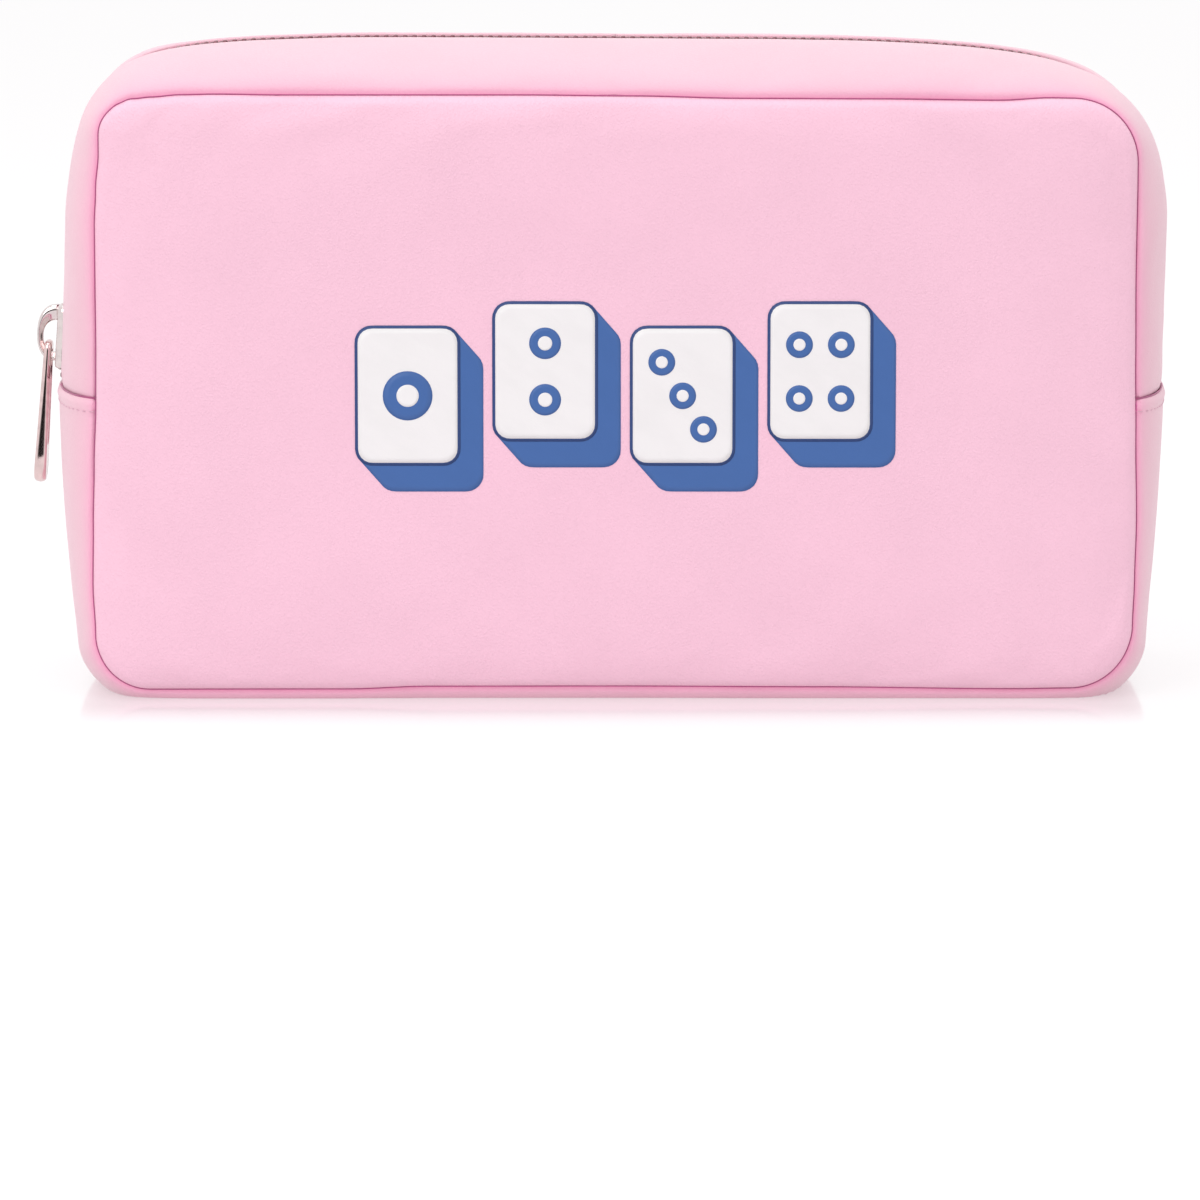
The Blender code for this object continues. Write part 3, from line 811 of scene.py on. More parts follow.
class ClothShell:
    """A grid of cloth with a relief, from which layers of different depth are cut."""

    def __init__(self, points: Array, outwards: Array, relief: Array) -> None:
        """Takes the bare surface, its outward normals and the relief along them."""
        self.points = points
        self.outwards = outwards
        self.relief = relief
        rows = travelled(points)
        self.cloth = np.stack((rows.mean(1)[:, None] + 0 * rows, travelled(points, 1)), -1)

    def lifted(self) -> Array:
        """The surface with its relief."""
        return self.points + self.outwards * self.relief[..., None]

    def at(self, row: Array, column: Array) -> tuple[Array, Array]:
        """Points of the dressed surface between the grid's own, and the normals there."""
        surface = self.lifted()
        normals = grid_normals(surface)
        normals *= np.sign((normals * self.outwards).sum(-1))[..., None]
        top = np.clip(row.astype(int), 0, surface.shape[0] - 2)
        left = np.clip(column.astype(int), 0, surface.shape[1] - 2)
        down, right = (row - top)[:, None], (column - left)[:, None]
        found = []
        for field in (surface, normals):
            upper = field[top, left] * (1 - right) + field[top, left + 1] * right
            lower = field[top + 1, left] * (1 - right) + field[top + 1, left + 1] * right
            found.append(upper * (1 - down) + lower * down)
        return found[0], found[1] / np.linalg.norm(found[1], axis=1)[:, None]


RIM_SHARE = 0.45


def sharpen(piece: Piece, first: int, end: int) -> None:
    """Marks the edges between the points of a range as sharp."""
    for edge in piece.data.edges:
        if all(first <= point < end for point in edge.vertices):
            edge.use_edge_sharp = True


def layer_piece(
    name: str, outer: Array, inner: Array, cloth: Array, seam: Array, flush: int | None = None
) -> Piece:
    """A layer between two grids of points, closed round its edge by a rounded rim.

    Args:
        name: the piece's name.
        outer: the outer face's points.
        inner: the inner face's points.
        cloth: the cloth coordinates of each point of a face.
        seam: the seam coordinates of each point of a face.
        flush: the row, 0 or -1, that is cut off flat where the layer's other half goes on.

    Returns:
        The object.
    """
    rows, columns = outer.shape[:2]
    edge = np.array(perimeter(rows, columns))
    inside = np.stack((np.clip(edge[:, 0], 1, rows - 2), np.clip(edge[:, 1], 1, columns - 2)), 1)
    if flush is not None:
        inside[edge[:, 0] == flush % rows, 0] = flush % rows
    at_edge, near_edge = tuple(edge.T), tuple(inside.T)
    away = outer[at_edge] - outer[near_edge]
    away /= np.maximum(np.linalg.norm(away, axis=1), TINY)[:, None]
    thick = np.linalg.norm(outer[at_edge] - inner[at_edge], axis=1)[:, None]
    rim = (outer[at_edge] + inner[at_edge]) / 2 + away * thick * RIM_SHARE
    points = np.concatenate((outer.reshape(-1, 3), inner.reshape(-1, 3), rim))
    total, length = rows * columns, len(edge)
    numbers = edge[:, 0] * columns + edge[:, 1]
    following = np.roll(numbers, -1)
    rims = np.arange(length) + 2 * total
    next_rims = np.roll(rims, -1)
    faces = [grid_faces(rows, columns), grid_faces(rows, columns, total)]
    faces.append(np.stack((numbers, following, next_rims, rims), 1))
    faces.append(np.stack((rims, next_rims, following + total, numbers + total), 1))
    maps = []
    for values in (cloth, seam):
        flat = values.reshape(-1, 2)
        maps.append(np.concatenate((flat, flat, flat[numbers])))
    piece = add_piece(name, points, np.concatenate(faces).tolist(), *maps)
    if flush is not None:
        first = (flush % rows) * columns
        for start in (first, first + total):
            sharpen(piece, start, start + columns)
    return piece


# The bag's outside, as in the frame
@dataclass(frozen=True)
class BagForm:
    """Sizes of the bag: those of the frame's boxes, and how the walls between them curve."""

    seam_half: float
    seam_y: float
    seam_low: float
    seam_top: float
    mid_left: float
    mid_right: float
    mid_top: float
    joint: float
    fold_half: float
    top_left: float = 8.6 * MM
    top_right: float = 16 * MM
    bottom_right: float = 15.7 * MM
    bottom_left: float = 12.8 * MM
    round_left: float = 16.3 * MM
    round_right: float = 16 * MM
    round_foot: float = 12 * MM
    proud: float = 0.5 * MM
    press: float = 2 * MM
    flat_press: float = 7 * MM
    flat_ease: float = 26 * MM
    lean_left: float = 2.7 * MM
    lean_right: float = -0.75 * MM
    lean_run: float = 46 * MM
    shoulder: float = 43.4 * MM
    drop_left: float = 6.3 * MM
    drop_right: float = 10.8 * MM
    droop_left: float = 5 * MM
    droop_right: float = 11.2 * MM
    taper_left: float = 6.3 * MM
    taper_right: float = 5 * MM
    taper_power: float = 1.36
    soft_run: float = 9 * MM
    opening_half: float = 7.5 * MM
    profile_power: float = 2.2
    profile_root: float = 1.7
    gap: float = 0.3 * MM

    @classmethod
    def of_frame(cls) -> "BagForm":
        """Reads the driving sizes from the frame's boxes."""
        panel_low, panel_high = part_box("front_panel")
        lower_low, lower_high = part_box("lower_gusset")
        top_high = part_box("front_zip_top_strip")[1]
        gap, proud = cls.gap, cls.proud
        seam_top = panel_high.z + gap
        risen = float(cls.rise(np.array(cls.opening_half / lower_high.y)))
        return cls(
            seam_half=panel_high.x + gap,
            seam_y=lower_high.y,
            seam_low=panel_low.z - gap,
            seam_top=seam_top,
            mid_left=-lower_low.x - proud,
            mid_right=lower_high.x - proud,
            mid_top=seam_top + (top_high.z - seam_top) / risen,
            joint=lower_high.z,
            fold_half=top_high.x + gap / 2,
        )

    @classmethod
    def rise(cls, share: Array) -> Array:
        """How much of its swell a wall has reached, at a share of the way from the middle to the seam."""
        return (1.0 - np.minimum(share, 1.0) ** cls.profile_power) ** (1.0 / cls.profile_root)


@dataclass(frozen=True)
class SeamSway:
    """How the sewn outline of a panel wanders off its straight lines.

    Each side holds pairs in millimetres: a place along the side, and how far the seam lies outside there.
    """

    left: tuple = (
        (10, 0.45), (17, 0.7), (28, 1.2), (44, 0.95), (58, 0.6), (74, 0.0),
        (90, -0.15), (104, -0.1), (118, -0.1), (127, -0.5), (136, -1.25),
    )
    right: tuple = (
        (12, -0.5), (18, -0.4), (30, 0.0), (44, 0.3), (66, -0.1), (84, -0.35), (104, -0.5), (130, -0.3),
    )
    top: tuple = (
        (-126, -1.5), (-122.5, -1.05), (-119, -0.4), (-114, 0.05), (-107, 0.6), (-98, 0.75), (-82, 0.55),
        (-23, 0.55), (4, 0.3), (32, -0.3), (64, -0.42), (94, -0.75), (106, -0.15), (116, -0.3),
    )
    bottom: tuple = ((-117, 0.3), (-67, 0.25), (-46, -0.45), (0, -0.5), (50, -0.3), (98, 0.2), (112, 0.0))
    reach: float = 14 * MM

    def along(self, pairs: tuple, place: Array) -> Array:
        """The sway at places along a side, eased from pair to pair."""
        at, out = np.array(pairs, float).T * MM
        number = np.clip(np.searchsorted(at, place) - 1, 0, len(at) - 2)
        share = (place - at[number]) / (at[number + 1] - at[number])
        return out[number] + eased(share, out[number + 1] - out[number])

    def bent(self, form: BagForm, x: Array, z: Array) -> tuple[Array, Array]:
        """Points of the seam plane moved with the seam, less and less further inside."""
        gaps = (form.seam_half + x, form.seam_half - x, form.seam_top - z, z - form.seam_low)
        left, right, top, bottom = (np.exp(-np.maximum(gap, 0.0) / self.reach) for gap in gaps)
        across = self.along(self.right, z) * right - self.along(self.left, z) * left
        up = self.along(self.top, x) * top - self.along(self.bottom, x) * bottom
        return x + across, z + up


SWAY = SeamSway()


def straight(start: tuple, end: tuple, steps: int) -> list[Array]:
    """Evenly spaced points from start up to, but without, the end."""
    return [np.array(start) + (np.array(end) - np.array(start)) * step / steps for step in range(steps)]


def bend(centre: tuple, radius: float, start: float, end: float, steps: int) -> list[Array]:
    """Points on an arc between two angles in degrees, without the last."""
    angles = [math.radians(start + (end - start) * step / steps) for step in range(steps)]
    return [np.array((centre[0] + radius * math.cos(a), centre[1] + radius * math.sin(a))) for a in angles]


@dataclass(frozen=True)
class WallSteps:
    """How finely the walls are cut along their length."""

    leg: int = 38
    corner: int = 22
    ease: int = 15
    top: int = 116
    side: int = 46
    foot: int = 16
    base: int = 120


STEPS = WallSteps()


class Wall:
    """A curved side wall between the two panel seams, at any depth below its outside."""

    def __init__(self, form: BagForm, seam: Array, middle: Array) -> None:
        """Takes the seam outline and the settled outline of the middle, with matching points."""
        self.form = form
        self.seam = np.stack(SWAY.bent(form, *seam.T), 1)
        self.middle = middle
        self.pressed = np.zeros(len(seam))
        along = np.gradient(middle, axis=0)
        normals = np.stack((-along[:, 1], along[:, 0]), axis=1)
        self.outward = normals / np.linalg.norm(normals, axis=1)[:, None]

    @classmethod
    def upper(cls, form: BagForm) -> "Wall":
        """The wall that holds the zip: up the left side, over the top and down the right side."""
        corners = (form.top_left, form.top_right)
        seam = cls.upper_path(form, form.seam_half, form.seam_half, form.seam_top, *corners)
        rounds = (form.round_left, form.round_right)
        middle = cls.upper_path(form, form.mid_left, form.mid_right, form.mid_top, *rounds)
        return cls(form, seam, cls.softened(form, cls.settle_upper(form, middle)))

    @classmethod
    def lower(cls, form: BagForm) -> "Wall":
        """The wall under the bag and up both sides to the zip."""
        corners = (form.bottom_left, form.bottom_right)
        seam = cls.lower_path(form, form.seam_half, form.seam_half, form.seam_low, *corners)
        left, right = form.mid_left + form.proud, form.mid_right + form.proud
        middle = cls.lower_path(form, left, right, -form.press, form.round_foot, form.round_foot)
        wall = cls(form, seam, cls.settle_lower(form, middle))
        share = (form.seam_half - abs(seam[:, 0])) / form.flat_ease
        wall.pressed = eased(share, form.flat_press) * (seam[:, 1] < form.joint / 2)
        return wall

    @staticmethod
    def upper_path(form: BagForm, left: float, right: float, top: float, near: float, far: float) -> Array:
        """An outline from the left joint over the top to the right joint."""
        foot, fold = form.joint + form.gap, form.fold_half
        points = straight((-left, foot), (-left, top - near), STEPS.leg)
        points += bend((near - left, top - near), near, 180.0, 90.0, STEPS.corner)
        points += straight((near - left, top), (-fold, top), STEPS.ease)
        points += straight((-fold, top), (fold, top), STEPS.top)
        points += straight((fold, top), (right - far, top), STEPS.ease)
        points += bend((right - far, top - far), far, 90.0, 0.0, STEPS.corner)
        points += straight((right, top - far), (right, foot), STEPS.leg)
        return np.array(points + [np.array((right, foot))])

    @staticmethod
    def lower_path(form: BagForm, left: float, right: float, foot: float, near: float, far: float) -> Array:
        """An outline from the right joint under the bag to the left joint."""
        points = straight((right, form.joint), (right, foot + far), STEPS.side)
        points += bend((right - far, foot + far), far, 0.0, -90.0, STEPS.foot)
        points += straight((right - far, foot), (near - left, foot), STEPS.base)
        points += bend((near - left, foot + near), near, -90.0, -180.0, STEPS.foot)
        points += straight((-left, foot + near), (-left, form.joint), STEPS.side)
        return np.array(points + [np.array((-left, form.joint))])

    @staticmethod
    def settle_upper(form: BagForm, path: Array) -> Array:
        """The middle of the zip wall as it sits: sides leaning in and shoulders sloping."""
        x, z = path.T
        left = x < 0
        reach = form.mid_left - form.fold_half
        outward = unit((abs(x) - form.fold_half) / reach)
        lean = np.where(left, form.lean_left, form.lean_right) * (z - form.joint) / form.lean_run
        span = form.mid_top - form.joint - form.shoulder
        slope = np.maximum(z - form.joint - form.shoulder, 0.0) / span
        drop = np.where(left, form.drop_left, form.drop_right) * slope**2
        droop = np.where(left, form.droop_left, form.droop_right)
        sunk = z - droop * (x / np.where(left, form.mid_left, form.mid_right)) ** 4 * slope
        return np.stack((x - np.sign(x) * (lean + drop) * outward, sunk), 1)

    @staticmethod
    def softened(form: BagForm, path: Array) -> Array:
        """The middle of the zip wall with its shoulders rounded off, and its sides and top as they were."""
        run = travelled(path)
        weights = hill(run[:, None] - run, form.soft_run) * np.gradient(run)
        rounded = weights @ path / weights.sum(1)[:, None]
        x, z = path.T
        top = unit((abs(x) - form.fold_half + form.soft_run) / form.soft_run)
        side = unit((z - form.joint - form.shoulder) / form.soft_run)
        return path + (rounded - path) * (top * side)[:, None]

    @staticmethod
    def settle_lower(form: BagForm, path: Array) -> Array:
        """The middle of the lower wall, narrowing towards the foot."""
        x, z = path.T
        fall = np.maximum(form.joint - z, 0.0) / form.joint
        share = np.minimum(abs(x) / form.seam_half, 1.0)
        taper = np.where(x < 0, form.taper_left, form.taper_right)
        return np.stack((x - np.sign(x) * taper * fall**form.taper_power * share, z), 1)

    def surface(self, angles: Array, depth: float, side: int) -> Array:
        """Points of the wall at angles round from one seam, for every row of the outline."""
        half = self.form.seam_y - depth
        y = half * np.cos(angles)
        rise = self.form.rise(abs(y) / half)
        crest = self.middle - self.outward * depth
        flat = self.seam[:, None] + (crest - self.seam)[:, None] * rise[None, :, None]
        wide = np.broadcast_to(side * y, flat.shape[:2])
        low = flat[..., 1] - self.pressed[:, None] * rise
        return np.stack((flat[..., 0], wide, np.maximum(low, depth)), -1)

    def outwards(self, surface: Array) -> Array:
        """Unit normals of a grid on the wall, turned to the outside."""
        normals = grid_normals(surface)
        guide = np.stack((self.outward[:, 0], 0 * self.outward[:, 0], self.outward[:, 1]), 1)
        towards = guide[:, None] + ACROSS * np.sign(surface[..., 1])[..., None]
        return normals * np.sign((normals * towards).sum(-1))[..., None]

    @staticmethod
    def creased(cloth: SewnCloth, surface: Array, outwards: Array) -> Array:
        """The creases of a cloth laid on the wall, measured outwards."""
        return cloth.creases(surface, 3, 2) * np.sign((grid_normals(surface) * outwards).sum(-1))


@dataclass(frozen=True)
class Groove:
    """The valley in which two sewn edges meet."""

    depth: float = 0.75 * MM
    width: float = 1.1 * MM

    def sink(self, distance: Array) -> Array:
        """How far cloth lies sunk at a distance from the seam."""
        return self.depth * hill(distance, self.width)


@dataclass(frozen=True)
class Layers:
    """Depths and thicknesses of the layers of the walls and panels."""

    skin: float = 1.2 * MM
    strip: float = 1.0 * MM
    foam: float = 2.6 * MM
    lining: float = 0.6 * MM
    gap: float = 0.3 * MM
    tape: float = 0.6 * MM
    foam_depth: float = skin + gap
    lining_depth: float = foam_depth + foam + gap
    tape_depth: float = strip + gap
    zip_lining_depth: float = tape_depth + tape + gap


@dataclass(frozen=True)
class Waist:
    """How the walls draw in on both sides of the left joint."""

    drawn: float = 0.75 * MM
    height: float = 76 * MM
    run: float = 24 * MM

    def depth(self, points: Array) -> Array:
        """How far points of the walls are drawn in."""
        return self.drawn * hill(points[..., 2] - self.height, self.run) * (points[..., 0] < 0)


GROOVE = Groove()
WAIST = Waist()
LAYERS = Layers()


class Panel:
    """A padded panel: a skin over foam with a lining behind, sewn in all round."""

    columns = 150
    rows = 92
    edge_pull = 0.72
    roll_height = 3.0 * MM
    roll_width = 9.0 * MM
    belly_height = 1.5 * MM
    belly_width = 32.0 * MM
    smallest_round = 6.0 * MM
    foam_inset = 4.0 * MM
    lining_inset = 1.5 * MM
    seed = 11
    calm = 0.28
    lively = 0.72
    lively_until = 7 * MM
    lively_fade = 11 * MM
    phase = 0.7
    waves = (31 * MM, 23 * MM, 90 * MM, 11 * MM)
    slow_height = 0.16 * MM
    quick_height = 0.13 * MM
    quick_reach = 7 * MM
    seam_ease = 6 * MM
    corner_power = 7.0
    smallest_gap = 1e-7

    def __init__(self, form: BagForm, side: Side) -> None:
        """Takes the bag's sizes and which half the panel is in."""
        self.form = form
        self.side = side
        bare, inset = self.grid(form.gap)
        self.outward = np.array((0.0, float(side.value), 0.0))
        facing = float(np.sign(grid_normals(bare)[..., 1].mean()))
        creases = SewnCloth(self.seed + side.value).creases(bare, 2, 2) * side.value * facing
        near_seam = np.exp(-np.maximum(inset - self.lively_until, 0.0) / self.lively_fade)
        self.relief = creases * (self.calm + self.lively * near_seam) + self.waver(bare, inset)
        self.skin: Piece | None = None

    def waver(self, points: Array, inset: Array) -> Array:
        """Slow unevenness of the padding, a few tenths of a millimetre."""
        x, z = points[..., 0], points[..., 2]
        across, up, slant, close = self.waves
        phase = self.phase * self.side.value
        slow = np.sin(x / across + phase) * np.sin(z / up + 2.0 * phase + x / slant)
        quick = np.sin(x / close + 1.3 * phase) * np.exp(-inset / self.quick_reach)
        return unit(inset / self.seam_ease) * (self.slow_height * slow + self.quick_height * quick)

    def swell(self, inset: Array) -> Array:
        """How far the panel stands out of its seam plane at a distance inside the seam."""
        roll, belly = (1.0 - unit(inset / width) for width in (self.roll_width, self.belly_width))
        return self.roll_height * np.sqrt(1.0 - roll**2) + self.belly_height * (1.0 - belly**2)

    def grid(self, first: float) -> tuple[Array, Array]:
        """The panel's face as a grid with rounded corners.

        Args:
            first: how far inside the seam the grid's edge lies.

        Returns:
            Its points and their distance from the seam.
        """
        form = self.form
        half = form.seam_half - first
        tall = (form.seam_top - form.seam_low) / 2 - first
        middle = (form.seam_top + form.seam_low) / 2
        even = [np.linspace(-1.0, 1.0, count + 1) for count in (self.columns, self.rows)]
        u, v = (share + self.edge_pull * np.sin(math.pi * share) / math.pi for share in even)
        x, z = np.meshgrid(half * u, tall * v)
        right, up = x > 0, z > 0
        top = np.where(right, form.top_right, form.top_left)
        bottom = np.where(right, form.bottom_right, form.bottom_left)
        radius = np.maximum(np.where(up, top, bottom) - first, self.smallest_round)
        over = np.maximum(radius - (half - abs(x)), 0.0)
        above = np.maximum(radius - (tall - abs(z)), 0.0)
        reach = np.maximum(over, above)
        turn = np.where(over >= above, above, over) / np.maximum(reach, TINY) * math.pi / 4
        turn = np.where(over >= above, turn, math.pi / 2 - turn)
        both = (over > 0) & (above > 0)
        bent_x = np.sign(x) * (half - radius + reach * np.cos(turn))
        bent_z = np.sign(z) * (tall - radius + reach * np.sin(turn))
        gaps, least = (half - abs(x), tall - abs(z)), self.smallest_gap
        soft = sum(np.maximum(gap, least) ** -self.corner_power for gap in gaps) ** (-1 / self.corner_power)
        inset = first + np.where(np.minimum(*gaps) < least, 0.0, soft)
        x, z = SWAY.bent(form, np.where(both, bent_x, x), np.where(both, bent_z, z) + middle)
        y = self.side.value * (form.seam_y + self.swell(inset))
        return np.stack((x, y, z), -1), inset

    def layer(self, name: str, first: float, depth: float, thickness: float) -> Piece:
        """One layer of the panel, with the relief of its face."""
        points, inset = self.grid(first)
        sink = GROOVE.sink(inset)
        lift = (self.relief - sink)[..., None] * self.outward
        outer = points + lift - self.outward * depth
        inner = outer - self.outward * thickness
        cloth = points[..., (0, 2)]
        seam = np.stack((np.full_like(inset, self.form.seam_half), inset), -1)
        return layer_piece(name, outer, inner, cloth, seam)

    def build(self) -> None:
        """Builds and dresses the panel's three layers."""
        node, form, layers = f"{self.side.label}_panel", self.form, LAYERS
        self.skin = self.layer(f"{node}_skin", form.gap, 0.0, layers.skin)
        dress(self.skin, PANEL_CLOTH, "panel_leather", "bag", node)
        foam = self.layer(f"{node}_padding", self.foam_inset, layers.foam_depth, layers.foam)
        dress(foam, FOAM, "foam", "bag", f"{node}_foam")
        lining = self.layer(f"{node}_inner_cloth", self.lining_inset, layers.lining_depth, layers.lining)
        dress(lining, LINING, "lining_nylon", "bag", f"{node}_lining")
        LOG.info("%s panel: skin, padding and lining", self.side.label)


class LowerGusset:
    """The padded wall under the bag and up both sides, with its topstitched upper edges."""

    turns = 64
    crowding = 0.12
    seed = 5
    crease = 0.22 * MM
    crease_share = 0.6
    rest_start = 0.4 * MM
    rest_run = 3 * MM
    foot_run = 2 * MM
    samples = 400
    stitch_drop = 3.1 * MM
    stitch_margin = 1.2
    lap_roll = 0.42 * MM
    lap_power = 0.6
    stitch_dent = 0.18 * MM
    dent_width = 0.7 * MM
    line_margin = 0.6
    line_radius = 0.24 * MM
    line_gap = 9 * MM
    line_sunk = 0.58 * MM
    line_rise = 0.62 * MM

    def __init__(self, form: BagForm) -> None:
        """Takes the bag's sizes."""
        self.form = form
        self.wall = Wall.lower(form)
        share = np.linspace(0.0, 1.0, self.turns + 1)
        self.angles = math.pi * (share - self.crowding * np.sin(math.tau * share) / math.tau * 2)
        bare = self.wall.surface(self.angles, 0.0, Side.FRONT.value)
        outwards = self.wall.outwards(bare)
        down, across = travelled(bare), travelled(bare, 1)
        self.along = np.minimum(down, down[-1] - down)
        self.inset = np.minimum(across, across[:, -1:] - across)
        creases = self.wall.creased(SewnCloth(self.seed, crease=self.crease), bare, outwards)
        resting = unit((bare[..., 2] - self.rest_start) / self.rest_run)
        self.relief = (creases * self.crease_share + self.lap()) * resting - WAIST.depth(bare)
        self.shell = ClothShell(bare, outwards, self.relief)

    def lap(self) -> Array:
        """The rolled upper edge and the dent along its topstitching."""
        roll = np.sin(math.pi * unit(self.along / self.stitch_drop)) ** self.lap_power * self.lap_roll
        return roll - self.stitch_dent * hill(self.along - self.stitch_drop, self.dent_width)

    def layer(self, name: str, depth: float, thickness: float) -> Piece:
        """One layer of the wall, with the relief of its face."""
        levels = (depth, depth + thickness)
        faces = [self.wall.surface(self.angles, level, Side.FRONT.value) for level in levels]
        lift = self.shell.outwards * self.relief[..., None]
        inwards = np.zeros_like(lift)
        sink = GROOVE.sink(self.inset) * unit(self.shell.points[..., 2] / self.foot_run)
        inwards[..., 1] = -np.sign(faces[0][..., 1]) * sink
        faces = [face + lift + inwards for face in faces]
        for face, level in zip(faces, levels):
            face[..., 2] = np.maximum(face[..., 2], level)
        seam = np.stack((self.along + self.stitch_drop, self.inset), -1)
        return layer_piece(name, *faces, self.shell.cloth, seam)

    def across(self, row: float, margin: float) -> tuple[Array, Array]:
        """Points from panel to panel at one row, and the normals there."""
        columns = np.linspace(margin, self.turns - margin, self.samples)
        return self.shell.at(np.full(self.samples, row), columns)

    def topstitch(self, end: End) -> Piece:
        """The row of stitches below one joint, from panel to panel."""
        rows = self.along.shape[0]
        middle = self.turns // 2
        half = slice(0, rows // 2) if end is End.RIGHT else slice(rows // 2, rows)
        run, numbers = self.along[half, middle], np.arange(rows)[half]
        order = np.argsort(run)
        row = float(np.interp(self.stitch_drop, run[order], numbers[order]))
        return Topstitch().sew(f"{end.label}_joint_topstitch", *self.across(row, self.stitch_margin))

    def joint_thread(self, end: End) -> Piece:
        """A dark thread in the crease above one joint, from each panel nearly to the zip: painted shadow
        that draws the crease's shadow line.
        """
        row = 0.0 if end is End.RIGHT else self.along.shape[0] - 1.0
        path, normals = self.across(row, self.line_margin)
        path = path - normals * self.line_sunk + np.array((0.0, 0.0, self.line_rise))
        bundle = Bundle()
        for side in Side:
            bundle.add(*tube(path[path[:, 1] * side.value > self.line_gap], self.line_radius, 8))
        return dress(bundle.piece(f"{end.label}_joint_thread"), SEAM_SHADOW_THREAD, "gusset_leather", "bag")

    def build(self) -> None:
        """Builds and dresses the wall's layers and stitching."""
        layers = LAYERS
        skin = self.layer("lower_gusset_skin", 0.0, layers.skin)
        dress(skin, GUSSET_CLOTH, "gusset_leather", "bag", "lower_gusset")
        foam = self.layer("lower_gusset_padding", layers.foam_depth, layers.foam)
        dress(foam, FOAM, "foam", "bag", "lower_gusset_foam")
        lining = self.layer("lower_gusset_inner_cloth", layers.lining_depth, layers.lining)
        dress(lining, LINING, "lining_nylon", "bag", "lower_gusset_lining")
        for end in End:
            self.topstitch(end)
            self.joint_thread(end)
        LOG.info("lower gusset: skin, padding, lining and two rows of topstitching")


@dataclass(frozen=True)
class Topstitch:
    """A row of stitches, each sunk into the cloth at both ends."""

    length: float = 1.9 * MM
    pause: float = 0.7 * MM
    radius: float = 0.15 * MM
    rise: float = 0.1 * MM
    sunk: float = 0.16 * MM
    points: int = 6
    thin: float = 0.45
    thick: float = 0.55

    def sew(self, name: str, path: Array, normals: Array) -> Piece:
        """Sews the row.

        Args:
            name: the piece's name.
            path: closely spaced points on the cloth.
            normals: the cloth's outward normals there.

        Returns:
            The object, riding on the bag.
        """
        run = travelled(path)
        pitch = self.length + self.pause
        bundle = Bundle()
        shares = np.linspace(0.0, 1.0, self.points)
        arch = np.sin(math.pi * shares)
        for number in range(int(run[-1] / pitch)):
            at = number * pitch + shares * self.length
            up = sampled(at, run, normals)
            lifted = sampled(at, run, path) + up * (arch * (self.rise + self.sunk) - self.sunk)[:, None]
            bundle.add(*tube(lifted, self.radius * (self.thin + self.thick * arch**0.5), 6, up.mean(0)))
        return dress(bundle.piece(name), TOP_THREAD, "gusset_leather", "bag")


class PanelSeam:
    """A dark thread along the bottom of the groove where a panel meets the gussets: painted shadow that
    draws the groove's shadow as a thin dark line.
    """

    radius = 0.2 * MM
    sunk = 0.05 * MM
    low_sunk = 0.35 * MM
    low_end = 110 * MM
    low_ease = 30 * MM

    def __init__(self, form: BagForm, side: Side) -> None:
        """Takes the bag's sizes and the half."""
        self.form = form
        self.side = side

    def build(self) -> None:
        """Lays the drawn-tight dark thread along the bottom of the groove, as painted shadow."""
        upper, lower = Wall.upper(self.form).seam, Wall.lower(self.form).seam
        outline = np.concatenate((upper, lower[1:-1], upper[:1]))
        near = unit((self.low_end - abs(outline[:, 0])) / self.low_ease)
        low = near * (outline[:, 1] < self.form.joint)
        y = self.side.value * (self.form.seam_y - GROOVE.depth - self.sunk - self.low_sunk * low)
        path = np.stack((outline[:, 0], y, outline[:, 1]), 1)
        thread = Bundle().add(*tube(path, self.radius, 8, ACROSS))
        dress(thread.piece(f"{self.side.label}_panel_seam_thread"), SEAM_SHADOW_THREAD, "panel_leather", "bag")
        LOG.info("%s seam thread", self.side.label)


@dataclass(frozen=True)
class Piping:
    """The cords inside the mouth's long seams, which keep them shut when the mouth folds open."""

    radius: float = 1.0 * MM
    inward: float = 1.75 * MM
    apart: float = 0.35 * MM
    half: float = 118 * MM
    taper: float = 8 * MM
    least: float = 0.05


PIPING = Piping()


